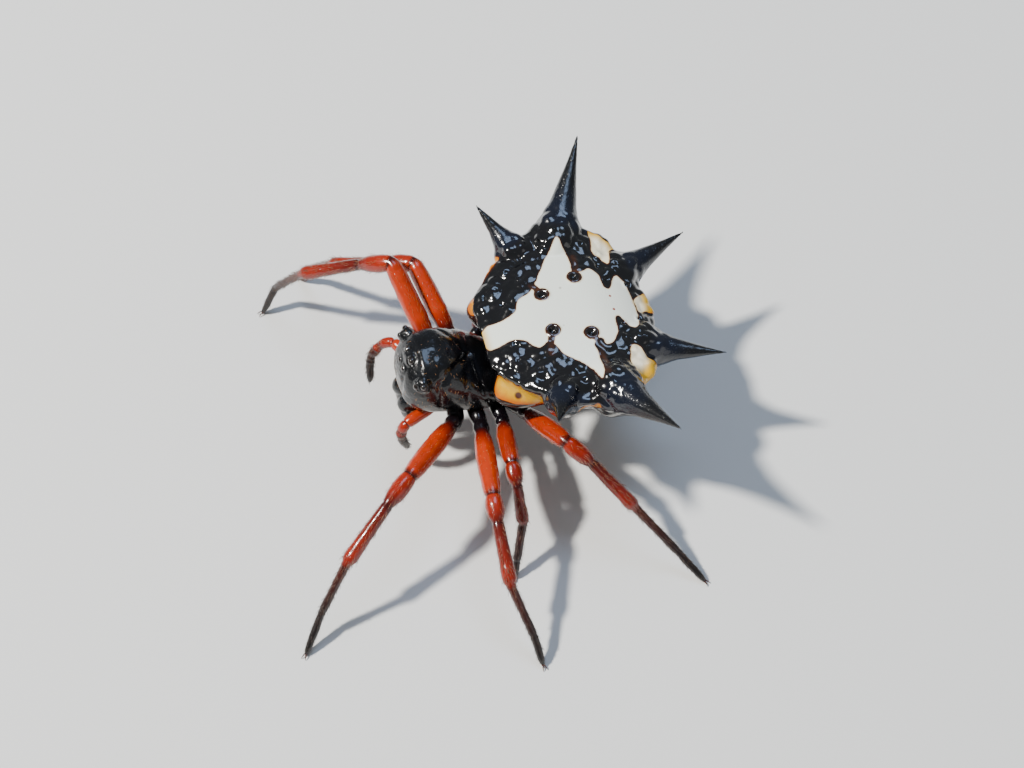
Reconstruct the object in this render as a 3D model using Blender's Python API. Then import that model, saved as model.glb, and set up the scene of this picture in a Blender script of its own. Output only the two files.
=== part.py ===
"""Spiny orb weaver, an adult female at life size, standing still on a flat floor with her legs spread.

Metres, +Z up. She faces -Y, her left side is +X and the floor is z = 0. Every body part that has a
name is one closed solid, and neighbours meet face to face with a narrow slot between them.
"""

import math

import bmesh
import bpy
from mathutils import Matrix, Vector
from mathutils.bvhtree import BVHTree

MM = 0.001


def mm(*values):
    """A point or a direction given in millimetres, in metres."""
    return Vector(values) * MM


# Slots between neighbouring solids
JOINT_GAP = 0.28 * MM
EYE_GAP = 0.06 * MM

# Abdomen: the margin of the shield from the middle of its front round her left side to the middle of its rear
MARGIN_HALF = (
    mm(0.00, -0.22, 5.80),
    mm(1.55, -0.18, 5.84),
    mm(2.75, 0.66, 5.98),
    mm(3.70, 1.72, 6.10),
    mm(4.22, 2.95, 6.12),
    mm(4.20, 4.25, 6.08),
    mm(3.38, 5.45, 5.85),
    mm(1.85, 6.16, 5.55),
    mm(0.00, 6.42, 5.36),
)
MARGIN_STEPS = 4
SHIELD_TOP = mm(0.0, 3.10, 6.44)
SHIELD_RINGS = (0.22, 0.45, 0.66, 0.82, 0.93)
SHIELD_FALL = 2.6
BELLY_TIP = mm(0.0, 3.90, 2.85)
# Each ring below the margin: its share of the margin's width, and its share of the height over the belly's tip
FLANK_RINGS = ((0.985, 0.92), (0.945, 0.78), (0.885, 0.65), (0.80, 0.50), (0.68, 0.36), (0.48, 0.21), (0.24, 0.08))
# In front the flank swells on each side of the waist and draws back above it, as shares of the margin's width
SHOULDER_PLACE = 2.15 * MM
SHOULDER_SPREAD = 0.95 * MM
SHOULDER_SWELL = 0.25
SHOULDER_HEIGHT = 0.56
SHOULDER_DEPTH = 0.17
WAIST_SPREAD = 1.10 * MM
WAIST_NOTCH = 0.10
FRONT_END = 1.90 * MM

# Spines, one row for each pair: where it leaves the margin, its tip, its width at the root, and how far
# behind the mirror image of the right one the left one's root and tip lie, each halved
SPINES = {
    "front": (mm(3.62, 1.94, 5.86), mm(5.30, 1.10, 7.00), 1.62 * MM, 0.0, 0.16 * MM),
    "middle": (mm(3.82, 3.92, 5.84), mm(7.12, 5.46, 7.53), 2.16 * MM, 0.14 * MM, -0.10 * MM),
    "rear": (mm(1.82, 5.74, 5.30), mm(2.97, 8.62, 5.52), 1.92 * MM, 0.0, -0.06 * MM),
}
SPINE_SIDES = 12
SPINE_SINK = 0.9 * MM
# Share of the way to the tip, and share of the root's width there
SPINE_TAPER = ((0.0, 1.0), (0.12, 0.78), (0.27, 0.57), (0.46, 0.39), (0.68, 0.22), (0.87, 0.10), (1.0, 0.035))

# Sigilla: the pits on the shield, with the four deep ones in the middle and the small ones near the rim
DEEP_PITS = (mm(0.85, 2.34), mm(1.33, 3.72))
RIM_PITS = (mm(1.15, 0.75), mm(2.15, 1.25), mm(2.9, 2.2), mm(3.1, 3.5), mm(2.1, 4.75), mm(1.05, 5.3))
DEEP_PIT_WIDTH = 0.46 * MM
RIM_PIT_WIDTH = 0.36 * MM
PIT_DEPTH = 0.11 * MM

# Prosoma, the head and thorax in one: place along the body, half width, underside and top of each section
PROSOMA_SECTIONS = (
    mm(-3.50, 0.70, 3.95, 4.85),
    mm(-3.38, 1.00, 3.62, 5.22),
    mm(-3.12, 1.24, 3.24, 5.55),
    mm(-2.70, 1.39, 2.94, 5.78),
    mm(-2.20, 1.47, 2.80, 5.84),
    mm(-1.65, 1.53, 2.75, 5.64),
    mm(-1.10, 1.60, 2.74, 5.22),
    mm(-0.60, 1.64, 2.76, 4.78),
    mm(-0.10, 1.52, 2.82, 4.44),
    mm(0.24, 1.16, 2.98, 4.16),
    mm(0.42, 0.66, 3.22, 3.90),
)
PROSOMA_SIDES = 28
PROSOMA_SQUARENESS = 2.7

# Tubercles that carry the side eyes
TUBERCLE_ROOT = mm(1.00, -2.72, 5.10)
TUBERCLE_TIP = mm(1.38, -2.96, 5.36)
TUBERCLE_WIDTHS = (0.78 * MM, 0.66 * MM, 0.44 * MM)

# Eyes of her left side: centre and width
EYES = {
    "front_median": (mm(0.22, -3.29, 5.14), 0.34 * MM),
    "rear_median": (mm(0.27, -3.02, 5.60), 0.32 * MM),
    "front_lateral": (mm(1.24, -3.10, 5.28), 0.26 * MM),
    "rear_lateral": (mm(1.42, -2.86, 5.40), 0.26 * MM),
}

# Chelicerae: the stout upper piece and the fang folded under it, on her left side
CHELICERA_AXIS = (mm(0.42, -2.90, 3.75), mm(0.43, -3.12, 3.25), mm(0.42, -3.22, 2.70), mm(0.36, -3.20, 2.24))
CHELICERA_WIDTHS = (0.62 * MM, 0.72 * MM, 0.68 * MM, 0.46 * MM)
FANG_AXIS = (mm(0.40, -3.21, 2.36), mm(0.38, -3.29, 2.10), mm(0.27, -3.17, 1.94), mm(0.16, -2.99, 1.96))
FANG_WIDTHS = (0.34 * MM, 0.28 * MM, 0.20 * MM, 0.08 * MM)

# Palps: root, elbow, outer joint and tip of each
PALPS = {
    "left": (mm(0.80, -2.35, 2.95), mm(1.20, -3.54, 2.94), mm(1.22, -3.78, 2.20), mm(1.12, -3.52, 1.22)),
    "right": (mm(-0.80, -2.35, 2.95), mm(-2.37, -3.16, 3.30), mm(-2.58, -3.98, 2.55), mm(-2.05, -4.25, 1.51)),
}
# Stations along each stretch of a palp: share of its length, and width
PALP_STRETCHES = (
    ((0.0, 0.50 * MM), (0.5, 0.54 * MM), (0.88, 0.52 * MM)),
    ((0.06, 0.50 * MM), (0.5, 0.54 * MM), (0.92, 0.50 * MM)),
    ((0.12, 0.48 * MM), (0.55, 0.50 * MM), (1.0, 0.30 * MM)),
)

# Waist between prosoma and abdomen
PEDICEL_AXIS = (mm(0.0, 0.05, 3.60), mm(0.0, 1.00, 3.66), mm(0.0, 2.10, 3.80))
PEDICEL_WIDTHS = (0.62 * MM, 0.52 * MM, 0.70 * MM)

# Spinnerets: the collar below the belly and the three pairs on it
SPINNERET_COLLAR = (mm(0.0, 3.95, 3.15), mm(0.0, 4.00, 2.35))
SPINNERET_COLLAR_WIDTHS = (1.15 * MM, 0.92 * MM)
SPINNERETS = (mm(0.24, 3.80, 2.45), mm(0.17, 4.00, 2.45), mm(0.24, 4.20, 2.45))
SPINNERET_REACH = (mm(0.05, -0.06, -0.52), mm(0.0, 0.0, -0.44), mm(0.05, 0.06, -0.52))
SPINNERET_WIDTHS = (0.34 * MM, 0.30 * MM, 0.16 * MM)

# Legs: coxa root, trochanter, knee, end of the kneecap, end of the tibia, end of the metatarsus, foot
LEGS = {
    "leg_1_left": (
        mm(0.85, -1.62, 3.08), mm(1.53, -1.66, 3.02), mm(4.27, -4.16, 4.08), mm(5.19, -5.25, 3.92),
        mm(6.57, -7.18, 2.83), mm(7.41, -8.44, 1.13), mm(8.37, -9.31, 0.10),
    ),
    "leg_2_left": (
        mm(0.95, -0.90, 3.08), mm(1.96, -0.84, 3.02), mm(5.64, -1.34, 3.66), mm(6.69, -1.43, 3.40),
        mm(8.84, -1.52, 2.38), mm(10.41, -1.04, 0.94), mm(11.16, -0.92, 0.10),
    ),
    "leg_3_left": (
        mm(0.95, -0.10, 3.08), mm(1.96, 0.01, 3.00), mm(4.22, -0.21, 3.32), mm(5.10, -0.25, 3.05),
        mm(6.03, -0.27, 1.89), mm(6.85, -0.73, 0.68), mm(7.21, -0.93, 0.10),
    ),
    "leg_4_left": (
        mm(0.80, 0.10, 3.10), mm(1.72, 0.88, 2.95), mm(4.49, 1.82, 4.34), mm(5.31, 2.60, 3.77),
        mm(6.71, 3.91, 2.26), mm(8.27, 5.25, 0.83), mm(9.28, 5.97, 0.10),
    ),
    "leg_1_right": (
        mm(-0.85, -1.62, 3.08), mm(-1.53, -1.68, 3.02), mm(-4.68, -2.57, 5.28), mm(-5.46, -3.66, 4.60),
        mm(-6.62, -5.81, 3.28), mm(-7.71, -6.78, 1.32), mm(-7.54, -7.40, 0.10),
    ),
    "leg_2_right": (
        mm(-0.95, -0.90, 3.08), mm(-1.96, -0.84, 3.02), mm(-4.90, -1.65, 4.66), mm(-5.57, -2.63, 4.18),
        mm(-7.01, -4.56, 2.97), mm(-8.45, -5.20, 1.00), mm(-8.77, -5.56, 0.10),
    ),
    "leg_3_right": (
        mm(-0.95, -0.10, 3.08), mm(-1.96, 0.01, 3.00), mm(-3.89, 1.21, 3.51), mm(-4.60, 1.60, 3.10),
        mm(-5.50, 2.10, 1.90), mm(-6.20, 2.45, 0.70), mm(-6.60, 2.72, 0.10),
    ),
    "leg_4_right": (
        mm(-0.80, 0.10, 3.10), mm(-1.72, 0.88, 2.95), mm(-4.25, 2.38, 4.00), mm(-4.98, 3.22, 3.66),
        mm(-5.50, 5.05, 2.42), mm(-5.90, 6.50, 0.78), mm(-6.30, 7.40, 0.10),
    ),
}
LEG_SIDES = 10
# Stations of each segment of a leg: share of its length, and width
COXA = ((0.0, 0.58 * MM), (0.55, 0.64 * MM), (1.0, 0.64 * MM))
FEMUR = ((0.14, 0.68 * MM), (0.40, 0.79 * MM), (0.66, 0.77 * MM), (0.88, 0.68 * MM), (1.0, 0.62 * MM))
PATELLA = ((0.0, 0.58 * MM), (0.45, 0.64 * MM), (1.0, 0.55 * MM))
TIBIA = ((0.25, 0.51 * MM), (0.62, 0.52 * MM), (0.86, 0.58 * MM), (1.0, 0.54 * MM))
METATARSUS = ((0.0, 0.52 * MM), (0.5, 0.50 * MM), (1.0, 0.50 * MM))
TARSUS = ((0.45, 0.46 * MM), (0.85, 0.38 * MM), (1.0, 0.30 * MM))
# The shorter third pair is slimmer too
LEG_GIRTH = {1: 1.0, 2: 0.98, 3: 0.88, 4: 0.96}

SIDES = {"left": 1.0, "right": -1.0}


# Materials

def finish(name, colour, roughness):
    """A Principled material, made once for each name."""
    material = bpy.data.materials.get(name) or bpy.data.materials.new(name)
    material.use_nodes = True
    shader = material.node_tree.nodes["Principled BSDF"]
    shader.inputs["Base Color"].default_value = (*colour, 1.0)
    shader.inputs["Roughness"].default_value = roughness
    shader.inputs["Metallic"].default_value = 0.0
    material.diffuse_color = (*colour, 1.0)
    return material


def black_shell():
    return finish("black_shell", (0.012, 0.012, 0.014), 0.22)


def white_shell():
    return finish("white_shell", (0.78, 0.80, 0.74), 0.35)


def red_cuticle():
    return finish("red_cuticle", (0.52, 0.055, 0.012), 0.30)


def dark_red_cuticle():
    return finish("dark_red_cuticle", (0.22, 0.022, 0.010), 0.32)


def brown_cuticle():
    return finish("brown_cuticle", (0.040, 0.018, 0.012), 0.40)


def eye_lens():
    return finish("eye_lens", (0.006, 0.006, 0.008), 0.06)


# Mesh building

def closed_curve(points, steps):
    """Points on a smooth closed curve through the given ones, a few for each span."""
    count = len(points)
    curve = []
    for i in range(count):
        before, start, end, after = (points[(i + k) % count] for k in (-1, 0, 1, 2))
        for step in range(steps):
            t = step / steps
            curve.append(0.5 * (
                2 * start
                + (end - before) * t
                + (2 * before - 5 * start + 4 * end - after) * t ** 2
                + (3 * start - before - 3 * end + after) * t ** 3
            ))
    return curve


def skin_rings(bm, rings):
    """Bridges rings of equal count, in order, and closes both ends."""
    loops = [[bm.verts.new(point) for point in ring] for ring in rings]
    for lower, upper in zip(loops, loops[1:]):
        count = len(lower)
        for i in range(count):
            j = (i + 1) % count
            bm.faces.new((lower[i], lower[j], upper[j], upper[i]))
    bm.faces.new(loops[0])
    bm.faces.new(loops[-1])
    bmesh.ops.recalc_face_normals(bm, faces=bm.faces)


def make_object(name, bm, material):
    """Turns a bmesh into a smooth-shaded object in the scene."""
    mesh = bpy.data.meshes.new(name)
    bm.to_mesh(mesh)
    bm.free()
    mesh.materials.append(material)
    mesh.shade_smooth()
    mesh.set_sharp_from_angle(angle=math.radians(50))
    made = bpy.data.objects.new(name, mesh)
    bpy.context.scene.collection.objects.link(made)
    return made


def tube_rings(path, widths, sides, start_face=None, end_face=None):
    """Round rings along a path. A face, a point and a normal, makes the first or last ring lie in it."""
    tangents = []
    for i in range(len(path)):
        before = path[max(i - 1, 0)]
        after = path[min(i + 1, len(path) - 1)]
        tangents.append((after - before).normalized())
    across = tangents[0].orthogonal().normalized()
    rings = []
    for point, tangent, width in zip(path, tangents, widths):
        across = (across - tangent * across.dot(tangent)).normalized()
        beside = tangent.cross(across)
        ring = []
        for k in range(sides):
            angle = math.tau * k / sides
            ring.append(point + (across * math.cos(angle) + beside * math.sin(angle)) * (width / 2))
        rings.append(ring)
    for index, tangent, face in ((0, tangents[0], start_face), (-1, tangents[-1], end_face)):
        if face:
            point, normal = face
            rings[index] = [p + tangent * ((point - p).dot(normal) / tangent.dot(normal)) for p in rings[index]]
    return rings


def tube(name, path, widths, sides, material, start_face=None, end_face=None):
    bm = bmesh.new()
    skin_rings(bm, tube_rings(path, widths, sides, start_face, end_face))
    return make_object(name, bm, material)


def stations(start, end, table, girth):
    """Path points and widths along one segment."""
    return [(start.lerp(end, share), width * girth) for share, width in table]


def ball(name, centre, width, material, segments=12):
    bm = bmesh.new()
    bmesh.ops.create_uvsphere(
        bm, u_segments=segments, v_segments=segments * 2 // 3, radius=width / 2,
        matrix=Matrix.Translation(centre),
    )
    return make_object(name, bm, material)


def keep_largest(bm):
    """Deletes every closed surface but the one with the most volume round it."""
    unseen = set(bm.faces)
    surfaces = []
    while unseen:
        stack = [unseen.pop()]
        surface = []
        while stack:
            face = stack.pop()
            surface.append(face)
            for edge in face.edges:
                for other in edge.link_faces:
                    if other in unseen:
                        unseen.remove(other)
                        stack.append(other)
        surfaces.append(surface)

    def volume(surface):
        total = 0.0
        for face in surface:
            corners = [vert.co for vert in face.verts]
            for a, b in zip(corners[1:], corners[2:]):
                total += corners[0].dot(a.cross(b)) / 6
        return abs(total)

    largest = max(surfaces, key=volume)
    scraps = [face for surface in surfaces if surface is not largest for face in surface]
    bmesh.ops.delete(bm, geom=scraps, context="FACES")


def combine(target, operation, tools):
    """Joins the tools to the target or cuts them from it, keeps one closed surface and removes the tools."""
    collection = bpy.data.collections.new("tools")
    bpy.context.scene.collection.children.link(collection)
    for tool in tools:
        collection.objects.link(tool)
    modifier = target.modifiers.new("combine", "BOOLEAN")
    modifier.operation = operation
    modifier.solver = "EXACT"
    modifier.operand_type = "COLLECTION"
    modifier.collection = collection
    bpy.context.view_layer.update()
    evaluated = target.evaluated_get(bpy.context.evaluated_depsgraph_get())
    bm = bmesh.new()
    bm.from_mesh(evaluated.to_mesh())
    evaluated.to_mesh_clear()
    target.modifiers.clear()
    keep_largest(bm)
    bmesh.ops.dissolve_degenerate(bm, dist=1e-7, edges=bm.edges)
    bm.to_mesh(target.data)
    bm.free()
    target.data.set_sharp_from_angle(angle=math.radians(50))
    for tool in tools:
        bpy.data.objects.remove(tool)
    bpy.data.collections.remove(collection)


def swollen(bm, distance):
    """An object from a bmesh with its surface moved outwards, which cuts a neighbour clear by that distance."""
    bm.normal_update()
    normals = [vertex.normal.copy() for vertex in bm.verts]
    for vertex, normal in zip(bm.verts, normals):
        vertex.co += normal * distance
    return make_object("swollen", bm, black_shell())


def mirrored(points, side):
    """Points of the left side, placed on the side wanted."""
    return [Vector((point.x * side, *point[1:])) for point in points]


# Abdomen

def bell(offset, spread):
    """1 at no offset, falling smoothly to nothing beyond the spread."""
    return math.exp(-(offset / spread) ** 2)


def front_swell(point, height):
    """How far the flank below a margin point stands out or draws back, as a share of the margin's width."""
    if point.y > FRONT_END:
        return 0.0
    across = abs(point.x)
    swell = SHOULDER_SWELL * bell(across - SHOULDER_PLACE, SHOULDER_SPREAD)
    swell *= bell(height - SHOULDER_HEIGHT, SHOULDER_DEPTH)
    notch = WAIST_NOTCH * bell(across, WAIST_SPREAD) * math.sin(math.pi * height)
    return (swell - notch) * min(1.0, (FRONT_END - point.y) / MM)


def shield_surface():
    """The six-cornered shield, its flanks and the blunt cone of the belly as one closed surface."""
    margin = list(MARGIN_HALF) + mirrored(MARGIN_HALF[-2:0:-1], -1.0)
    margin = closed_curve(margin, MARGIN_STEPS)
    rings = []
    for share in SHIELD_RINGS:
        ring = []
        for point in margin:
            level = SHIELD_TOP.lerp(point, share)
            level.z = SHIELD_TOP.z + (point.z - SHIELD_TOP.z) * share ** SHIELD_FALL
            ring.append(level)
        rings.append(ring)
    rings.append(margin)
    for share, height in FLANK_RINGS:
        ring = []
        for point in margin:
            level = BELLY_TIP.lerp(point, share + front_swell(point, height))
            level.z = BELLY_TIP.z + (point.z - BELLY_TIP.z) * height
            ring.append(level)
        rings.append(ring)
    bm = bmesh.new()
    skin_rings(bm, rings)
    bm.faces.ensure_lookup_table()
    for cap in bm.faces[-2:]:
        bmesh.ops.poke(bm, faces=[cap])
    bm.verts.ensure_lookup_table()
    bm.verts[-2].co = SHIELD_TOP
    bm.verts[-1].co = BELLY_TIP
    bmesh.ops.recalc_face_normals(bm, faces=bm.faces)
    return bm


def spine(name, root, tip, width):
    """One spine, broad and conical at the root and sharp at the tip, with its root sunk into the shield."""
    start = root - (tip - root).normalized() * SPINE_SINK
    path = [start] + [root.lerp(tip, share) for share, _ in SPINE_TAPER]
    widths = [width] + [width * part for _, part in SPINE_TAPER]
    return tube(name, path, widths, SPINE_SIDES, black_shell())


def pit_cutters(tree):
    """Balls that press a shallow round cup into the shield at each sigillum."""
    cutters = []
    for places, width in ((DEEP_PITS, DEEP_PIT_WIDTH), (RIM_PITS, RIM_PIT_WIDTH)):
        radius = (width ** 2 / 4 + PIT_DEPTH ** 2) / (2 * PIT_DEPTH)
        for place in places:
            for side in SIDES.values():
                above = Vector((place.x * side, place.y, 20 * MM))
                foot, normal, _, _ = tree.ray_cast(above, Vector((0, 0, -1)))
                cutters.append(ball("pit", foot + normal * (radius - PIT_DEPTH), 2 * radius, black_shell()))
    return cutters


def build_abdomen():
    bm = shield_surface()
    tree = BVHTree.FromBMesh(bm)
    abdomen = make_object("abdomen", bm, white_shell())
    spines = []
    for pair, (root, tip, width, root_lean, tip_lean) in SPINES.items():
        for side in SIDES.values():
            start, end = mirrored((root, tip), side)
            start.y += root_lean * side
            end.y += tip_lean * side
            spines.append(spine("spine_" + pair, start, end, width))
    combine(abdomen, "UNION", spines)
    combine(abdomen, "DIFFERENCE", pit_cutters(tree))


def build_spinnerets():
    collar = tube(
        "spinnerets", SPINNERET_COLLAR, SPINNERET_COLLAR_WIDTHS, 16, brown_cuticle()
    )
    fingers = []
    for root, reach in zip(SPINNERETS, SPINNERET_REACH):
        for side in SIDES.values():
            start, end = mirrored((root, root + reach), side)
            path = (start, start.lerp(end, 0.6), end)
            fingers.append(tube("finger", path, SPINNERET_WIDTHS, 8, brown_cuticle()))
    combine(collar, "UNION", fingers)
    combine(collar, "DIFFERENCE", [swollen(shield_surface(), JOINT_GAP)])


# Head and thorax

def prosoma_ring(section):
    """One cross-section across the body, a rounded box."""
    y, half_width, bottom, top = section
    middle = (top + bottom) / 2
    half_height = (top - bottom) / 2
    power = 2 / PROSOMA_SQUARENESS
    ring = []
    for k in range(PROSOMA_SIDES):
        angle = math.tau * k / PROSOMA_SIDES
        c, s = math.cos(angle), math.sin(angle)
        x = half_width * math.copysign(abs(c) ** power, c)
        z = middle + half_height * math.copysign(abs(s) ** power, s)
        ring.append(Vector((x, y, z)))
    return ring


def prosoma_surface():
    """The closed shell of head and thorax without its tubercles."""
    bm = bmesh.new()
    skin_rings(bm, [prosoma_ring(section) for section in PROSOMA_SECTIONS])
    return bm


def clear_of_prosoma(piece):
    """Cuts a piece that grows from the head or thorax back to a narrow slot from it."""
    combine(piece, "DIFFERENCE", [swollen(prosoma_surface(), JOINT_GAP)])


def build_prosoma():
    prosoma = make_object("cephalothorax", prosoma_surface(), black_shell())
    tubercles = []
    for side in SIDES.values():
        root, tip = mirrored((TUBERCLE_ROOT, TUBERCLE_TIP), side)
        path = (root, root.lerp(tip, 0.6), tip)
        tubercles.append(tube("tubercle", path, TUBERCLE_WIDTHS, 10, black_shell()))
    combine(prosoma, "UNION", tubercles)
    return prosoma


def build_eyes(prosoma):
    """Eight domed lenses, each in a socket pressed into the head."""
    cutters = []
    for eye, (centre, width) in EYES.items():
        for side_name, side in SIDES.items():
            place = mirrored((centre,), side)[0]
            ball("eye_" + eye + "_" + side_name, place, width, eye_lens())
            cutters.append(ball("socket", place, width + 2 * EYE_GAP, black_shell()))
    combine(prosoma, "DIFFERENCE", cutters)


def build_chelicera(side_name):
    side = SIDES[side_name]
    base = tube(
        "chelicera_" + side_name, mirrored(CHELICERA_AXIS, side), CHELICERA_WIDTHS, 14, black_shell()
    )
    fang = tube("fang", mirrored(FANG_AXIS, side), FANG_WIDTHS, 8, brown_cuticle())
    combine(base, "UNION", [fang])
    clear_of_prosoma(base)


def build_palp(side_name):
    joints = PALPS[side_name]
    path = []
    for start, end, table in zip(joints, joints[1:], PALP_STRETCHES):
        path += stations(start, end, table, 1.0)
    palp = tube("palp_" + side_name, *zip(*path), LEG_SIDES, red_cuticle())
    clear_of_prosoma(palp)


def build_pedicel():
    pedicel = tube("pedicel", PEDICEL_AXIS, PEDICEL_WIDTHS, 12, brown_cuticle())
    clear_of_prosoma(pedicel)
    combine(pedicel, "DIFFERENCE", [swollen(shield_surface(), JOINT_GAP)])


# Legs

def joint_faces(before, joint, after):
    """The two faces of the slot at a joint: each halves the bend and lies half the gap from it."""
    normal = ((joint - before).normalized() + (after - joint).normalized()).normalized()
    return (joint - normal * JOINT_GAP / 2, normal), (joint + normal * JOINT_GAP / 2, normal)


def flatten_foot(leg):
    """Cuts the foot off level with the floor and closes it with a small flat."""
    bm = bmesh.new()
    bm.from_mesh(leg.data)
    bmesh.ops.bisect_plane(
        bm, geom=bm.verts[:] + bm.edges[:] + bm.faces[:], dist=1e-8,
        plane_co=(0, 0, 0), plane_no=(0, 0, -1), clear_outer=True,
    )
    bmesh.ops.holes_fill(bm, edges=[edge for edge in bm.edges if edge.is_boundary])
    for vertex in bm.verts:
        if vertex.co.z < 1e-7:
            vertex.co.z = 0.0
    bmesh.ops.recalc_face_normals(bm, faces=bm.faces)
    bm.to_mesh(leg.data)
    bm.free()


def build_leg(name, joints):
    """Three solids: hip and thigh, kneecap and shin, and the slender foot down to the floor."""
    root, trochanter, knee, patella_end, tibia_end, ankle, foot = joints
    girth = LEG_GIRTH[int(name.split("_")[1])]
    above_knee, below_knee = joint_faces(trochanter, knee, patella_end)
    above_shin_end, below_shin_end = joint_faces(patella_end, tibia_end, ankle)

    thigh = stations(root, trochanter, COXA, girth) + stations(trochanter, knee, FEMUR, girth)
    thigh_solid = tube(
        name + "_femur", *zip(*thigh), LEG_SIDES, red_cuticle(), end_face=above_knee
    )
    clear_of_prosoma(thigh_solid)

    shin = stations(knee, patella_end, PATELLA, girth) + stations(patella_end, tibia_end, TIBIA, girth)
    tube(name + "_tibia", *zip(*shin), LEG_SIDES, dark_red_cuticle(), below_knee, above_shin_end)

    slender = stations(tibia_end, ankle, METATARSUS, 1.0) + stations(ankle, foot, TARSUS, 1.0)
    flatten_foot(tube(name + "_foot", *zip(*slender), LEG_SIDES, brown_cuticle(), below_shin_end))


# Whole animal

def clear_scene():
    for existing in list(bpy.data.objects):
        bpy.data.objects.remove(existing, do_unlink=True)


def centre_on_floor():
    """Moves everything sideways so that the middle of the whole animal stands over the origin."""
    corners = []
    for piece in bpy.context.scene.collection.objects:
        corners += [piece.matrix_world @ vertex.co for vertex in piece.data.vertices]
    lowest = Vector([min(corner[k] for corner in corners) for k in range(3)])
    highest = Vector([max(corner[k] for corner in corners) for k in range(3)])
    shift = Vector((-(lowest.x + highest.x) / 2, -(lowest.y + highest.y) / 2, 0.0))
    for piece in bpy.context.scene.collection.objects:
        piece.data.transform(Matrix.Translation(shift))
    print("sizes in mm", [round(value / MM, 2) for value in highest - lowest])
    print("shift in mm", [round(value / MM, 3) for value in shift])


def build():
    clear_scene()
    build_abdomen()
    build_spinnerets()
    build_eyes(build_prosoma())
    build_pedicel()
    for side_name in SIDES:
        build_chelicera(side_name)
        build_palp(side_name)
    for name, joints in LEGS.items():
        build_leg(name, joints)
    centre_on_floor()


build()
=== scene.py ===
# %% [markdown]
# # A spiny orb weaver, life size
#
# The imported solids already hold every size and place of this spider: a six-spined shield of a back, a
# high black head, eight spread legs. They are plain, faceted and slotted apart at the joints. This lesson
# dresses them. Each hard shell is cast again as one smooth skin with its pits and lumps, each leg becomes
# one unbroken skin from hip to claw, and the markings are painted by small sums over the surface.

import math

import bmesh
import bpy
import numpy as np
from mathutils import Matrix, Vector, noise


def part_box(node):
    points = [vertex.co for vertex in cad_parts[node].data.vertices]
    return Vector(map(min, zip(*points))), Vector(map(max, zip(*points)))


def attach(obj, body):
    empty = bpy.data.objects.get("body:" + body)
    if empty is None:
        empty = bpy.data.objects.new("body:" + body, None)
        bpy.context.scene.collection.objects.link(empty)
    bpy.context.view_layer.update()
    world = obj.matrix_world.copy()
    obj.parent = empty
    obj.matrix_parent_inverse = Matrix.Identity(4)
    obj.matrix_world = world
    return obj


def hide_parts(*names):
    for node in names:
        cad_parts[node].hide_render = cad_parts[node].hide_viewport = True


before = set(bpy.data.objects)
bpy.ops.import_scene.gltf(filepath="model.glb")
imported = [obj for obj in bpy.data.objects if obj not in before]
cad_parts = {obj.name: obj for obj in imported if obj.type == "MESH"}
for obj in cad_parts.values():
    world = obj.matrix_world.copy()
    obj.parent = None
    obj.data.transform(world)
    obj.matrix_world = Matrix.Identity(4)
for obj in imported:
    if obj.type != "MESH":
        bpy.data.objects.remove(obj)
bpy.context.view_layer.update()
MM = 0.001

# %% [markdown]
# ## One origin for all sizes
#
# The frame stands centred under the tips of the legs, which is no good place to measure a body from. The
# maker's own origin is on the body's midline, just above where head and shield meet, and all sizes below
# are in millimetres from it: +X to her left, +Y to her rear, z = 0 on the floor. One matrix takes a
# finished mesh from there to the frame. The rear end of the thorax solid tells where the origin lies.

# %% The body's own millimetres
THORAX_END = 0.42
head_low, head_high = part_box("cephalothorax")
ORIGIN = Vector(((head_low[0] + head_high[0]) / 2, head_high[1] - THORAX_END * MM, 0.0))
TO_FRAME = Matrix.Translation(ORIGIN) @ Matrix.Scale(MM, 4)
SIDES = {"left": 1.0, "right": -1.0}
print("origin in mm", [round(value / MM, 3) for value in ORIGIN])

# %% [markdown]
# ## The camera
#
# The photograph looks down on her left side from 55 degrees above the floor and a little from in front,
# through a long macro lens. A long lens keeps the near legs from swelling, so the camera stands about five
# body lengths off. It is aimed so that the pit at the front of the shield falls on the photograph's own
# picture point.

# %% Place the camera by one picture point
LENS, SENSOR, PICTURE = 100.0, 36.0, (1024, 768)
AZIMUTH, ELEVATION = math.radians(74.6), math.radians(55.0)
PIXELS_PER_MM = 26.5
AIM_PLACE = Vector((0.0, 2.34, 6.34))
AIM_PIXEL = (547.3, 313.5)

back = Vector((
    math.sin(AZIMUTH) * math.cos(ELEVATION),
    -math.cos(AZIMUTH) * math.cos(ELEVATION),
    math.sin(ELEVATION),
))
right = Vector((math.cos(AZIMUTH), math.sin(AZIMUTH), 0.0))
up = back.cross(right)
focal_pixels = PICTURE[0] * LENS / SENSOR
distance = focal_pixels / PIXELS_PER_MM
across = (AIM_PIXEL[0] - PICTURE[0] / 2) / focal_pixels
rise = (PICTURE[1] / 2 - AIM_PIXEL[1]) / focal_pixels
eye = AIM_PLACE - (right * across + up * rise - back) * distance

camera = bpy.data.objects.new("camera", bpy.data.cameras.new("camera"))
camera.data.lens = LENS
camera.data.sensor_width = SENSOR
camera.data.clip_start = 10 * MM
camera.data.clip_end = 2.0
camera.matrix_world = Matrix.Translation(TO_FRAME @ eye) @ Matrix((right, up, back)).transposed().to_4x4()
bpy.context.scene.collection.objects.link(camera)
bpy.context.scene.camera = camera
print("camera stands", round(distance), "mm from the shield")

# %% [markdown]
# ## Floor and light
#
# She stands on a plain pale floor. In the photograph the light comes from high up on the left of the
# picture and draws hard, small glints on the black shell. A small bright lamp there gives those glints. A
# bluish panel above gives the black its blue sheen, and a broad soft panel from the other side and a pale
# surrounding fill the shadows, as in a studio.

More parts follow.
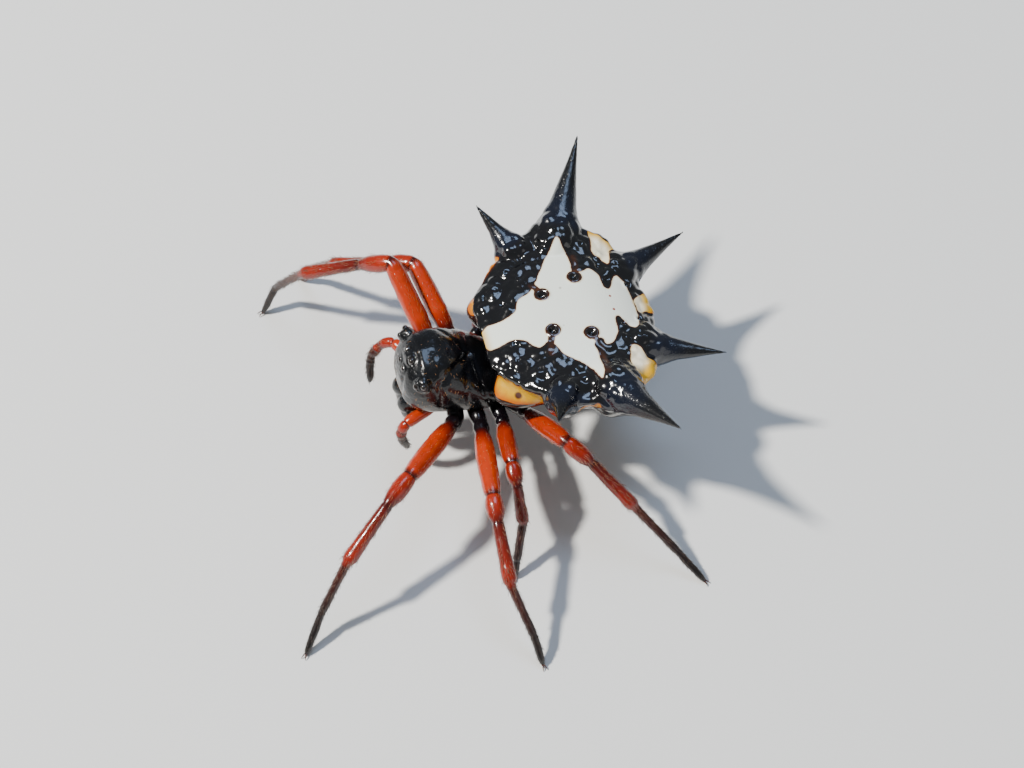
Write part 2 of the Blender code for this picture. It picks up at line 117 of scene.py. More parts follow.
# %% Floor
def plain_colour(name, colour, roughness):
    """A simple finish for what isn't part of the object."""
    made = bpy.data.materials.new(name)
    made.use_nodes = True
    shader = made.node_tree.nodes["Principled BSDF"]
    shader.inputs["Base Color"].default_value = (*colour, 1.0)
    shader.inputs["Roughness"].default_value = roughness
    return made


floor_mesh = bpy.data.meshes.new("floor")
FLOOR_HALF = 0.6
corners = [(x * FLOOR_HALF, y * FLOOR_HALF, 0.0) for x, y in ((-1, -1), (1, -1), (1, 1), (-1, 1))]
floor_mesh.from_pydata(corners, [], [(0, 1, 2, 3)])
floor_mesh.materials.append(plain_colour("floor_paper", (0.74, 0.74, 0.72), 0.8))
floor = bpy.data.objects.new("floor", floor_mesh)
bpy.context.scene.collection.objects.link(floor)

# %% Lamps
def lamp(name, toward, metres, size, watts, colour):
    """A round lamp that looks at the spider from a direction given by the picture's right, up and back."""
    light = bpy.data.lights.new(name, "AREA")
    light.shape = "DISK"
    light.size = size
    light.energy = watts
    light.color = colour
    spot = bpy.data.objects.new(name, light)
    ray = (right * toward[0] + up * toward[1] + back * toward[2]).normalized()
    spot.location = Vector((0.0, 0.0, 4 * MM)) + ray * metres
    spot.rotation_mode = "QUATERNION"
    spot.rotation_quaternion = ray.to_track_quat("Z", "Y")
    bpy.context.scene.collection.objects.link(spot)
    return spot


lamp("sun_lamp", (-0.62, 0.42, 0.72), 0.30, 0.024, 1.75, (1.0, 0.97, 0.92))
lamp("sky_panel", (0.15, 0.80, 0.60), 0.28, 0.13, 0.26, (0.50, 0.68, 1.0))
lamp("fill_panel", (0.75, -0.35, 0.55), 0.30, 0.24, 0.12, (1.0, 0.98, 0.95))

surround = bpy.data.worlds.new("surround")
surround.use_nodes = True
surround.node_tree.nodes["Background"].inputs["Color"].default_value = (0.80, 0.86, 0.92, 1.0)
surround.node_tree.nodes["Background"].inputs["Strength"].default_value = 0.26
bpy.context.scene.world = surround

# %% [markdown]
# ## Paint as arithmetic
#
# A finish is a web of nodes, but it reads better as sums. `Paint` wraps one socket, and the usual operators
# on it add the nodes: values go through Math, colours through Mix and vectors through Vector Math, because
# a Math node would turn a colour grey. `Finish` holds one material, and its `node` method makes every
# other kind of node.

# %% Sums with sockets
class Paint:
    """A shader socket that takes part in sums."""

    def __init__(self, finish, socket):
        self.finish = finish
        self.socket = socket

    def sum(self, operation, first, second):
        """One sum of two sides, either of which may be a plain number or colour."""
        kinds = [side.socket.type for side in (first, second) if isinstance(side, Paint)]
        if "RGBA" in kinds:
            first, second = (self.finish.as_colour(side) for side in (first, second))
            settings = {"data_type": "RGBA", "blend_type": operation}
            return self.finish.node("ShaderNodeMix", settings, {0: 1.0, 6: first, 7: second}, 2)
        if "VECTOR" in kinds:
            first, second = (self.finish.as_vector(side) for side in (first, second))
            return self.finish.node("ShaderNodeVectorMath", {"operation": operation}, {0: first, 1: second})
        return self.finish.node("ShaderNodeMath", {"operation": operation}, {0: first, 1: second})

    def __add__(self, other):
        return self.sum("ADD", self, other)

    def __radd__(self, other):
        return self.sum("ADD", other, self)

    def __sub__(self, other):
        return self.sum("SUBTRACT", self, other)

    def __rsub__(self, other):
        return self.sum("SUBTRACT", other, self)

    def __mul__(self, other):
        return self.sum("MULTIPLY", self, other)

    def __rmul__(self, other):
        return self.sum("MULTIPLY", other, self)

    def __truediv__(self, other):
        return self.sum("DIVIDE", self, other)

    def step(self, low, high):
        """0 below low, 1 above high, and a soft step between them."""
        return self.finish.node(
            "ShaderNodeMapRange", {"interpolation_type": "SMOOTHSTEP"}, {"Value": self, 1: low, 2: high}
        )

    def between(self, first, second):
        """The first colour where this is 0 and the second where it is 1."""
        return self.finish.node(
            "ShaderNodeMix", {"data_type": "RGBA", "blend_type": "MIX"},
            {0: self, 6: self.finish.as_colour(first), 7: self.finish.as_colour(second)}, 2,
        )


# %% A finish and its nodes
class Finish:
    """One material made of nodes."""

    def __init__(self, name):
        self.material = bpy.data.materials.new(name)
        self.material.use_nodes = True
        self.tree = self.material.node_tree
        self.tree.nodes.clear()

    def node(self, kind, settings, inputs, output=0):
        """Makes one node: settings first, then the values or links of its sockets."""
        made = self.tree.nodes.new(kind)
        for name, value in settings.items():
            if name == "stops":
                self.set_stops(made.color_ramp, value)
            else:
                setattr(made, name, value)
        for key, value in inputs.items():
            if isinstance(value, Paint):
                self.tree.links.new(value.socket, made.inputs[key])
            else:
                made.inputs[key].default_value = value
        return Paint(self, made.outputs[output])

    def set_stops(self, ramp, stops):
        """Colour stops of a ramp: place and colour of each."""
        while len(ramp.elements) < len(stops):
            ramp.elements.new(1.0)
        for element, (place, colour) in zip(ramp.elements, stops):
            element.position = place
            element.color = (*colour, 1.0)

    def as_colour(self, side):
        """A colour, a number or a value socket, ready for a colour socket."""
        if isinstance(side, Paint):
            return side
        return (*side, 1.0) if isinstance(side, tuple) else (side, side, side, 1.0)

    def as_vector(self, side):
        """The same for a vector socket."""
        if isinstance(side, Paint):
            return side
        return side if isinstance(side, tuple) else (side, side, side)

    def place(self):
        """The surface's place in millimetres."""
        return self.node("ShaderNodeTexCoord", {}, {}, "Object") * (1 / MM)

    def mark(self, name):
        """A value that the mesh carries at each of its points."""
        return self.node("ShaderNodeAttribute", {"attribute_name": name}, {}, "Fac")

    def grain(self, place, per_mm, detail=2.0):
        """Smooth noise from 0 to 1, with so many waves to a millimetre."""
        return self.node("ShaderNodeTexNoise", {}, {"Vector": place, "Scale": per_mm, "Detail": detail})

    def cells(self, place, per_mm):
        """Distance to the nearest of scattered points, small at each point."""
        return self.node("ShaderNodeTexVoronoi", {}, {"Vector": place, "Scale": per_mm}, "Distance")

    def near(self, place, spot):
        """Distance in millimetres to one spot of the body."""
        spot = tuple((TO_FRAME @ Vector(spot)) / MM)
        return self.node("ShaderNodeVectorMath", {"operation": "DISTANCE"}, {0: place, 1: spot}, "Value")

    def ramp(self, value, stops):
        """A colour read off a row of stops."""
        return self.node("ShaderNodeValToRGB", {"stops": stops}, {"Fac": value})

    def relief(self, height, depth_mm):
        """A bumped normal from heights of 0 to 1 that stand for a depth in millimetres."""
        return self.node("ShaderNodeBump", {}, {"Height": height, "Distance": depth_mm * MM, "Strength": 1.0})

    def lay(self, **inputs):
        """Closes the finish with one Principled shader."""
        inputs = {
            name.replace("_", " ").title().replace("Ior", "IOR"): value for name, value in inputs.items()
        }
        if isinstance(inputs["Base Color"], tuple):
            inputs["Base Color"] = (*inputs["Base Color"], 1.0)
        shader = self.node("ShaderNodeBsdfPrincipled", {}, inputs)
        output = self.tree.nodes.new("ShaderNodeOutputMaterial")
        self.tree.links.new(shader.socket, output.inputs["Surface"])
        return self


# %% [markdown]
# ## From numbers to a mesh
#
# Three helpers do nearly all the modelling. `smooth_row` draws a curve through a few points, `loft` skins a
# row of rings, and `make_piece` turns points and faces into an object in the frame, with its finish and
# with any marks that the finish reads. Points are kept in arrays, so that one sum moves them all.

# %% Sums over many points
def unit(rows):
    """Rows of length one."""
    return rows / np.linalg.norm(rows, axis=-1)[..., None]


def away_from(points, spot):
    """Distance of each point to one spot, in plan where both have two columns."""
    return np.linalg.norm(points - np.asarray(spot), axis=1)


def read_off(table, values):
    """Reads a table of pairs at the given values, in straight lines between its rows."""
    return np.interp(values, *np.array(table).T)


def walked(path):
    """Length of the way along a path to each of its points."""
    return np.concatenate([[0], np.cumsum(np.linalg.norm(np.diff(path, axis=0), axis=1))])


def on_side(row, side):
    """The same places on her left or, mirrored, on her right."""
    return np.array(row) * (side, 1, 1)


# %% Curves and rings
def smooth_row(points, steps, closed=False):
    """A curve through the points, of any number of columns, with so many steps to each span."""
    points = np.asarray(points, float)
    if closed:
        row = np.vstack([points[-1:], points, points[:2]])
    else:
        row = np.vstack([2 * points[0] - points[1], points, 2 * points[-1] - points[-2]])
    t = np.arange(steps)[:, None] / steps
    spans = [
        0.5 * (2 * b + (c - a) * t + (2 * a - 5 * b + 4 * c - d) * t ** 2 + (3 * b - a - 3 * c + d) * t ** 3)
        for a, b, c, d in zip(row, row[1:], row[2:], row[3:])
    ]
    return np.vstack(spans if closed else spans + [points[-1:]])


def loft(rings):
    """Points and faces of the skin over rings of equal count, closed at both ends by a fan."""
    rings = np.asarray(rings)
    count, sides = rings.shape[:2]
    points = np.vstack([rings.reshape(-1, 3), rings[0].mean(0), rings[-1].mean(0)])
    first, last = count * sides, count * sides + 1
    faces = []
    for k in range(sides):
        j = (k + 1) % sides
        faces.append((first, j, k))
        faces.append((last, (count - 1) * sides + k, (count - 1) * sides + j))
        for low in range(0, (count - 1) * sides, sides):
            faces.append((low + k, low + j, low + sides + j, low + sides + k))
    return points, faces


def directions(path):
    """Unit tangents of a path, and two unit rows across it that don't twist."""
    tangents = unit(np.gradient(path, axis=0))
    side = np.cross(tangents[0], (0.0, 0.0, 1.0))
    if np.linalg.norm(side) < 1e-3:
        side = np.array((1.0, 0.0, 0.0))
    sides = []
    for tangent in tangents:
        side = side - tangent * side.dot(tangent)
        side /= np.linalg.norm(side)
        sides.append(side)
    sides = np.array(sides)
    return tangents, sides, np.cross(sides, tangents)


def tube_rings(path, widths, sides):
    """Round rings along a path."""
    path = np.asarray(path, float)
    _, out, over = directions(path)
    turn = np.arange(sides) * math.tau / sides
    circle = out[:, None] * np.cos(turn)[None, :, None] + over[:, None] * np.sin(turn)[None, :, None]
    return path[:, None] + circle * (np.asarray(widths)[:, None, None] / 2)


# %% Pieces
def new_mesh(name, points, faces):
    """A mesh whose faces all look outwards."""
    mesh = bpy.data.meshes.new(name)
    mesh.from_pydata(np.asarray(points).tolist(), [], [list(face) for face in faces])
    bm = bmesh.new()
    bm.from_mesh(mesh)
    bmesh.ops.recalc_face_normals(bm, faces=bm.faces)
    bm.to_mesh(mesh)
    bm.free()
    return mesh


def make_piece(name, points, faces, finish, slot, replaced=(), marks=None):
    """A finished piece of the spider that rides with her body."""
    mesh = new_mesh(name, points, faces)
    for mark, values in (marks or {}).items():
        mesh.attributes.new(mark, "FLOAT", "POINT").data.foreach_set("value", np.asarray(values, np.float32))
    mesh.transform(TO_FRAME)
    mesh.materials.append(finish.material)
    mesh.shade_smooth()
    piece = bpy.data.objects.new(name, mesh)
    bpy.context.scene.collection.objects.link(piece)
    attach(piece, "root")
    if replaced:
        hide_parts(*replaced)
    return piece


# %% [markdown]
# ## Casting a shell
#
# The shield and its spines are one shell without a seam, and so are the head and its tubercles. A Boolean
# would join them with a hard crease. Instead the overlapping forms are melted together: a voxel remesh
# makes one even net of small squares over them all, and a few rounds of relaxing take the steps out of it.
# The same net is fine enough to press pits and raise lumps in afterwards.

# %% Melt, relax and measure
def melt(parts, voxel, rounds):
    """One closed skin of small squares over several closed forms that overlap."""
    points, faces, offset = [], [], 0
    for part_points, part_faces in parts:
        points.append(part_points)
        faces += [[index + offset for index in face] for face in part_faces]
        offset += len(part_points)
    form = bpy.data.objects.new("form", new_mesh("form", np.vstack(points), faces))
    bpy.context.scene.collection.objects.link(form)
    remesh = form.modifiers.new("remesh", "REMESH")
    remesh.mode = "VOXEL"
    remesh.voxel_size = voxel
    smooth = form.modifiers.new("smooth", "SMOOTH")
    smooth.factor = 0.5
    smooth.iterations = rounds
    bpy.context.view_layer.update()
    cast = form.evaluated_get(bpy.context.evaluated_depsgraph_get()).to_mesh()
    skin = np.empty(len(cast.vertices) * 3)
    cast.vertices.foreach_get("co", skin)
    squares = [tuple(polygon.vertices) for polygon in cast.polygons]
    bpy.data.objects.remove(form)
    return skin.reshape(-1, 3), np.array([square for square in squares if len(square) == 4])


def edges_of(squares):
    """Each edge of the net once, as a pair of points."""
    pairs = np.vstack([squares[:, [k, (k + 1) % 4]] for k in range(4)])
    return np.unique(np.sort(pairs, axis=1), axis=0)


def relax(points, edges, weight, rounds):
    """Draws each point towards the middle of its neighbours, as far as its weight says."""
    degree = np.bincount(edges.ravel(), minlength=len(points))[:, None]
    for _ in range(rounds):
        middle = np.zeros_like(points)
        np.add.at(middle, edges[:, 0], points[edges[:, 1]])
        np.add.at(middle, edges[:, 1], points[edges[:, 0]])
        points = points + (middle / degree - points) * weight[:, None]
    return points


def normals_of(points, squares):
    """Unit normals of a net of squares, away from its middle."""
    a, b, c, d = (points[squares[:, k]] for k in range(4))
    face_normals = np.cross(c - a, d - b)
    normals = np.zeros_like(points)
    for k in range(4):
        np.add.at(normals, squares[:, k], face_normals)
    normals /= np.maximum(np.linalg.norm(normals, axis=1), 1e-12)[:, None]
    outward = np.sign((normals * (points - points.mean(0))).sum())
    return normals * outward


# %% Soft steps and noise over many points
def soft_step(values, low, high):
    """0 below low, 1 above high, and a soft step between them."""
    t = np.clip((values - low) / (high - low), 0.0, 1.0)
    return t * t * (3 - 2 * t)


def bell(values, spread):
    """1 where the value is 0, falling off softly on both sides."""
    return np.exp(-(values / spread) ** 2)


def waves(points, size, shift=0.0):
    """Smooth noise from about -1 to 1 with waves of the given size."""
    return np.array([noise.noise(Vector(point) / size + Vector((shift, 0, 0))) for point in points])


def lesser(first, second, corner=0.15):
    """The lesser of two distances, with the corner between them rounded."""
    return -corner * np.logaddexp(-first / corner, -second / corner)


def cobbles(points, size):
    """Round lumps of the given size: 1 on top of each, 0 in the joints between them."""
    nearest = np.array([noise.voronoi(Vector(point) / size)[0][0] for point in points])
    return np.clip(1 - (nearest / 0.72) ** 2, 0.0, 1.0)


def top_at(points, place):
    """The topmost point at a place in plan."""
    return points[np.argmin(away_from(points[:, :2], place) - 0.05 * points[:, 2])]


def bowl(points, centre, radius, depth, rim):
    """Height of a round pit with a raised rim."""
    away = away_from(points, centre)
    floor_part = np.where(away < radius, (1 - (away / radius) ** 2) ** 2, 0.0)
    return rim * bell(away - radius, radius * 0.32) - depth * floor_part


# %% [markdown]
# ## The shield
#
# The abdomen is a hard six-sided shield with a blunt cone of a belly below it. Its shape is the one of the
# solid: a margin line, a low dome over it and rings that shrink down to the belly. The same few sizes are
# used here with many more rings.

# %% Margin and flank of the shield
MARGIN_HALF = (
    (0.00, -0.22, 5.80), (1.55, -0.18, 5.84), (2.75, 0.66, 5.98), (3.70, 1.72, 6.10), (4.22, 2.95, 6.12),
    (4.20, 4.25, 6.08), (3.38, 5.45, 5.85), (1.85, 6.16, 5.55), (0.00, 6.42, 5.36),
)
SHIELD_TOP = np.array((0.0, 3.10, 6.44))
SHIELD_FALL = 2.6
# Share of the margin at the first and last ring of the dome, and how many rings
DOME_SHARES = (0.03, 0.97, 26)
BELLY_TIP = np.array((0.0, 3.90, 2.85))
FLANK_RINGS = (
    (1.0, 1.0), (0.985, 0.92), (0.945, 0.78), (0.885, 0.65), (0.80, 0.50), (0.68, 0.36), (0.48, 0.21),
    (0.24, 0.08), (0.03, 0.003),
)
SHOULDER_PLACE, SHOULDER_SPREAD, SHOULDER_SWELL = 2.15, 0.95, 0.25
SHOULDER_HEIGHT, SHOULDER_DEPTH = 0.56, 0.17
WAIST_SPREAD, WAIST_NOTCH = 1.10, 0.10
FRONT_END = 1.90

half = np.array(MARGIN_HALF)
margin = smooth_row(np.vstack([half, half[-2:0:-1] * (-1, 1, 1)]), 12, closed=True)


def front_swell(height):
    """Each side of the waist the flank stands out, and above the waist it draws back."""
    reach = np.abs(margin[:, 0])
    beside_waist = bell(reach - SHOULDER_PLACE, SHOULDER_SPREAD)
    swell = SHOULDER_SWELL * beside_waist * bell(height - SHOULDER_HEIGHT, SHOULDER_DEPTH)
    notch = WAIST_NOTCH * bell(reach, WAIST_SPREAD) * math.sin(math.pi * height)
    return (swell - notch) * np.clip(FRONT_END - margin[:, 1], 0.0, 1.0)


def shield_form():
    """The dome over the margin, then the flank down to the belly's tip."""
    rings = []
    for share in np.linspace(*DOME_SHARES):
        ring = SHIELD_TOP + (margin - SHIELD_TOP) * share
        ring[:, 2] = SHIELD_TOP[2] + (margin[:, 2] - SHIELD_TOP[2]) * share ** SHIELD_FALL
        rings.append(ring)
    for share, height in smooth_row(FLANK_RINGS, 5):
        ring = BELLY_TIP + (margin - BELLY_TIP) * (share + front_swell(height))[:, None]
        ring[:, 2] = BELLY_TIP[2] + (margin[:, 2] - BELLY_TIP[2]) * height
        rings.append(ring)
    return loft(rings)


print("margin points", len(margin), "width", round(float(np.ptp(margin[:, 0])), 2))

# %% [markdown]
# Six spines stand on the margin. A real spine isn't a cone stuck on a plate: the plate itself is drawn out
# into it, so its foot is wide and hollow-cheeked and its end is a needle. The taper row holds that curve.

# %% Spines
# Root, tip and root width, and how much root and tip of the two sides differ lengthwise
SPINES = {
    "front": ((3.62, 1.94, 5.86), (5.30, 1.10, 7.00), 1.62, 0.0, 0.16),
    "middle": ((3.82, 3.92, 5.84), (7.12, 5.46, 7.53), 2.16, 0.14, -0.10),
    "rear": ((1.82, 5.74, 5.30), (2.97, 8.62, 5.52), 1.92, 0.0, -0.06),
}
SPINE_TAPER = ((0.0, 1.0), (0.12, 0.78), (0.27, 0.57), (0.46, 0.39), (0.68, 0.22), (0.87, 0.10), (1.0, 0.035))
SPINE_SINK = 0.9


def spine_ends():
    """Root, tip and root width of all six."""
    for root, tip, width, root_lean, tip_lean in SPINES.values():
        for side in SIDES.values():
            start = np.array((root[0] * side, root[1] + root_lean * side, root[2]))
            end = np.array((tip[0] * side, tip[1] + tip_lean * side, tip[2]))
            yield start, end, width


def spine_form(root, tip, width):
    """One spine, sunk into the plate at its foot."""
    taper = smooth_row(SPINE_TAPER, 6)
    path = root + (tip - root) * taper[:, :1]
    sunk = root - (tip - root) / np.linalg.norm(tip - root) * SPINE_SINK
    path = np.vstack([sunk, path])
    return loft(tube_rings(path, np.hstack([width, width * taper[:, 1]]), 28))


SHELL_VOXEL = 0.062
shell, shell_squares = melt([shield_form()] + [spine_form(*ends) for ends in spine_ends()], SHELL_VOXEL, 5)
print("shell points", len(shell), "squares", len(shell_squares))

# %% [markdown]
# Melting rounds off the needles and leaves a crease where each spine meets the plate. So the points round
# each foot are relaxed, which fills the crease like a weld, and the last part of each spine is drawn out
# again to its true length.

# %% Fill the feet and draw out the tips
FOOT_PLACE, FOOT_SPREAD, FOOT_ROUNDS = 0.08, 0.30, 26
DRAWN_FROM = 0.55
shell_edges = edges_of(shell_squares)
foot_weight = np.zeros(len(shell))
for root, tip, width in spine_ends():
    away = away_from(shell, root + (tip - root) * FOOT_PLACE)
    foot_weight = np.maximum(foot_weight, bell(away - width * 0.50, FOOT_SPREAD))
shell = relax(shell, shell_edges, foot_weight * 0.6, FOOT_ROUNDS)

spine_share = np.full(len(shell), -1.0)
for root, tip, width in spine_ends():
    axis = tip - root
    length = np.linalg.norm(axis)
    axis /= length
    along = (shell - root) @ axis / length
    beside = np.linalg.norm((shell - root) - np.outer(along * length, axis), axis=1)
    on_it = (beside < width * 0.62) & (along > -0.1)
    reach = along[on_it].max()
    outer = on_it & (along > DRAWN_FROM)
    drawn = DRAWN_FROM + (along[outer] - DRAWN_FROM) * (1.0 - DRAWN_FROM) / (reach - DRAWN_FROM)
    shell[outer] += np.outer((drawn - along[outer]) * length, axis)
    spine_share[on_it] = np.maximum(spine_share[on_it], np.clip(along[on_it], 0, 1))
    print("spine reached", round(float(reach), 3), "of its length")

# %% [markdown]
# ## Where on the shield is a point?
#
# The markings and the pits are placed in plan, as seen from above, but the flank lies under the same plan.
# So each point gets two measures: its share of the way from the middle to the margin, and its drop below
# the margin's level in that direction.

# %% Share and drop
def round_the_shield(points):
    """Share of the way out to the margin and height over it, for each point."""
    bearing = np.arctan2(points[:, 1] - SHIELD_TOP[1], points[:, 0])
    reach = np.hypot(points[:, 0], points[:, 1] - SHIELD_TOP[1])
    rim_bearing = np.arctan2(margin[:, 1] - SHIELD_TOP[1], margin[:, 0])
    order = np.argsort(rim_bearing)
    rim_reach = np.hypot(margin[:, 0], margin[:, 1] - SHIELD_TOP[1])
    share = reach / np.interp(bearing, rim_bearing[order], rim_reach[order], period=math.tau)
    lift = points[:, 2] - np.interp(bearing, rim_bearing[order], margin[order, 2], period=math.tau)
    return share, lift


shell_share, shell_lift = round_the_shield(shell)
print("share up to", round(float(shell_share.max()), 2), "lift", round(float(shell_lift.min()), 2))

# %% [markdown]
# ## The markings
#
# Her back carries one large bone-white patch. A band of it runs forward over the front edge, and long
# points of it climb the middle spines. Four round pits bite into its border. Paler yellow patches lie on
# the edge between the rear spines, and an orange one with a black spot on each shoulder. Each patch is an
# outline in plan. What the finish gets isn't a painted yes or no but the distance to the outline, because
# a distance stays smooth between the points of the net and gives a sharp border at any size.

# %% Outlines in plan
WHITE_PATCH = (
    (0.70, -0.16), (0.00, -0.28), (-0.27, 0.02), (-0.25, 0.42), (-0.28, 0.84), (-0.46, 1.20), (-0.80, 1.38),
    (-0.97, 1.57), (-1.08, 1.91), (-1.38, 2.20), (-1.64, 2.40), (-1.90, 2.56), (-2.10, 2.70), (-2.50, 2.95),
    (-2.77, 3.22), (-3.20, 3.60), (-2.84, 3.72), (-2.50, 3.80), (-2.05, 3.82), (-1.62, 3.80), (-1.56, 4.16),
    (-1.66, 4.43), (-1.48, 4.62), (-1.25, 4.74), (-0.98, 4.74), (-0.72, 4.77), (-0.60, 4.93), (-0.78, 5.10),
    (-1.06, 5.22), (-1.20, 5.40), (-1.02, 5.60), (-0.62, 5.70), (-0.20, 5.73), (0.28, 5.75), (0.72, 5.72),
    (1.15, 5.62), (1.38, 5.42), (1.20, 5.20), (0.98, 5.08), (0.72, 4.97), (0.74, 4.83), (1.00, 4.74),
    (1.33, 4.72), (1.63, 4.59), (1.92, 4.34), (1.94, 4.10), (1.66, 4.02), (1.66, 3.84), (1.90, 3.64),
    (2.20, 3.69), (2.56, 3.66), (2.98, 3.65), (3.38, 3.58), (3.60, 3.43), (3.28, 3.34), (2.86, 3.22),
    (2.54, 2.98), (2.27, 2.71), (2.00, 2.44), (1.74, 2.34), (1.52, 2.24), (1.32, 2.10), (1.30, 1.94),
    (1.40, 1.78), (1.42, 1.60), (1.24, 1.42), (0.98, 1.22), (0.84, 0.98), (0.75, 0.70), (0.78, 0.42),
    (0.80, 0.10),
)
EDGE_PATCHES = (
    ((-3.62, 4.98), (-3.05, 4.92), (-2.36, 4.84), (-2.11, 5.05), (-1.76, 5.27), (-2.10, 5.40), (-2.50, 5.50),
     (-2.60, 5.70), (-2.86, 5.72), (-2.98, 5.44), (-3.34, 5.24)),
    ((-0.10, 5.80), (-0.40, 6.14), (-0.58, 6.50), (-0.10, 6.62), (0.42, 6.50), (0.38, 6.12), (0.50, 5.84),
     (0.20, 5.80)),
    ((2.22, 4.97), (2.12, 5.16), (2.26, 5.34), (2.56, 5.42), (2.84, 5.58), (3.12, 5.80), (3.50, 5.52),
     (3.86, 5.00), (3.42, 4.84), (2.76, 4.82)),
)
PIT_PLACES = ((-0.86, 2.36), (-1.34, 3.78), (0.86, 2.32), (1.34, 3.68))

# %% Distance to an outline and to a line
def inside_by(points, outline):
    """How far each point lies inside a closed outline in plan, below zero outside."""
    outline = smooth_row(outline, 4, closed=True)
    x, y = points[:, 0], points[:, 1]
    nearest = np.full(len(points), np.inf)
    inside = np.zeros(len(points), bool)
    for (ax, ay), (bx, by) in zip(outline, np.roll(outline, -1, axis=0)):
        t = np.clip(((x - ax) * (bx - ax) + (y - ay) * (by - ay)) / ((bx - ax) ** 2 + (by - ay) ** 2), 0, 1)
        nearest = np.minimum(nearest, np.hypot(x - ax - (bx - ax) * t, y - ay - (by - ay) * t))
        crosses = (ay > y) != (by > y)
        inside ^= crosses & (x < ax + (y - ay) / ((by - ay) or 1e-9) * (bx - ax))
    return np.where(inside, nearest, -nearest)


def near_line(points, line):
    """Distance of each point to a bent line."""
    nearest = np.full(len(points), np.inf)
    for start, end in zip(np.asarray(line), np.asarray(line)[1:]):
        run = end - start
        t = np.clip(((points - start) @ run) / run.dot(run), 0, 1)
        nearest = np.minimum(nearest, np.linalg.norm(points - start - t[:, None] * run, axis=1))
    return nearest


# %% Distances that the finish will read
PIT_RADIUS = 0.30
STALKS = (
    ((1.34, 3.68), (1.92, 3.90), (2.37, 3.86), (2.93, 3.82), (3.45, 3.72)),
    ((-1.34, 3.78), (-1.80, 3.96), (-2.30, 4.02)),
    ((0.86, 2.32), (1.34, 2.10), (1.80, 2.00)),
    ((-0.86, 2.36), (-1.20, 2.22), (-1.40, 2.10)),
)
STALK_HALF = (0.11, 0.13, 0.13, 0.12)
SHOULDER_PATCH = ((2.02, 0.02, 5.16), (2.58, 0.52, 5.28), (3.02, 1.10, 5.34))
SHOULDER_PATCH_HALF = 0.46
SHOULDER_SPOT, SHOULDER_SPOT_HALF = (2.56, 0.50, 5.16), 0.17
RIM_STREAK, RIM_STREAK_HALF = ((-3.22, 1.28, 5.90), (-2.70, 0.70, 5.82), (-2.05, 0.24, 5.70)), 0.18
FLANK_SPOTS = (
    ((4.02, 2.50, 5.48), (4.16, 2.80, 5.64), (4.27, 3.10, 5.90)), ((1.20, 6.05, 4.95), (1.60, 5.90, 4.95)),
)
FLANK_SPOT_HALF = 0.13
RED_DOTS = ((-0.25, 4.89, 6.24), (0.40, 4.85, 6.24))
BELLY_SPOTS = (
    (0.95, 2.35, 3.75, 0.13), (1.55, 2.95, 3.85, 0.17), (1.75, 3.95, 3.85, 0.15), (1.35, 4.80, 3.85, 0.17),
    (0.60, 5.10, 3.80, 0.12), (2.55, 3.10, 4.50, 0.12), (2.45, 4.70, 4.50, 0.14),
)

# How far the white and the edge patches hang over the margin
WHITE_DROP, EDGE_DROP = 0.30, 0.72
plan = shell[:, :2]
white = inside_by(plan, WHITE_PATCH)
pits = np.min([away_from(plan, place) for place in PIT_PLACES], axis=0)
stalks = np.min([near_line(plan, line) - half_width for line, half_width in zip(STALKS, STALK_HALF)], axis=0)
white = np.minimum(white, np.minimum(pits - PIT_RADIUS, stalks))
white = np.minimum(white, (shell_lift + WHITE_DROP) * 0.8)
edge = np.max([inside_by(plan, outline) for outline in EDGE_PATCHES], axis=0)
edge = lesser(edge, (shell_lift + EDGE_DROP) * 0.8)
folded = np.column_stack([np.abs(shell[:, 0]), shell[:, 1:]])
shoulder = SHOULDER_PATCH_HALF - near_line(folded, SHOULDER_PATCH)
flank = FLANK_SPOT_HALF - np.min([near_line(folded, ends) for ends in FLANK_SPOTS], axis=0)
flank = np.maximum(flank, RIM_STREAK_HALF - near_line(shell, RIM_STREAK))
belly = np.max([size - away_from(folded, place) for *place, size in BELLY_SPOTS], axis=0)
pale = np.max([white, edge, shoulder, flank, belly], axis=0)
print("white covers", round(float((white > 0).mean()), 3), "of the points")

# %% [markdown]
# ## Pits and lumps
#
# The white plate is nearly smooth. Round it the black rim is beaten like old metal: round lumps, short
# folds and a row of shallow dimples near the edge, where muscles are fixed inside. The four deep pits have
# a raised rim. All of it is real relief, pressed along the normals, and it dies away on the white plate
# and towards the tips of the spines. The belly is softly pleated round the spinnerets, a collar surrounds
# the waist where it goes in, and behind that lies a furrow with the small raised plate of the female.

# %% Press the relief into the shell
# Radius, depth and raised rim of the deep pits and of the shallow dimples
PIT_BOWL, DIMPLE_BOWL = (0.22, 0.16, 0.050), (0.15, 0.075, 0.035)
RIM_DIMPLES = (
    (0.98, 0.85), (1.72, 0.80), (2.32, 1.41), (2.86, 2.10), (3.32, 2.88), (2.90, 4.50), (2.35, 4.95),
    (1.77, 4.85), (1.07, 5.02), (0.85, 5.72), (1.70, 5.50),
)
# Place in plan, radius and rise
EDGE_KNOBS = ((3.05, 5.38, 0.34, 0.12), (0.02, 6.38, 0.36, 0.05))
PLEATS = 23
WAIST_COLLAR, WAIST_COLLAR_RADIUS = (0.0, 1.42, 3.78), 0.42
GENITAL_FURROW = ((0.0, 2.36, 3.36), (0.55, 2.25, 3.46), (1.15, 1.95, 3.75))
GENITAL_PLATE = (0.0, 2.48, 3.30)
LUMP_SIZE, LUMP_HEIGHT = 0.47, 0.115
FOLD_SIZE, FOLD_HEIGHT = 0.70, 0.045
GRAIN_SIZE, GRAIN_HEIGHT = 0.17, 0.006

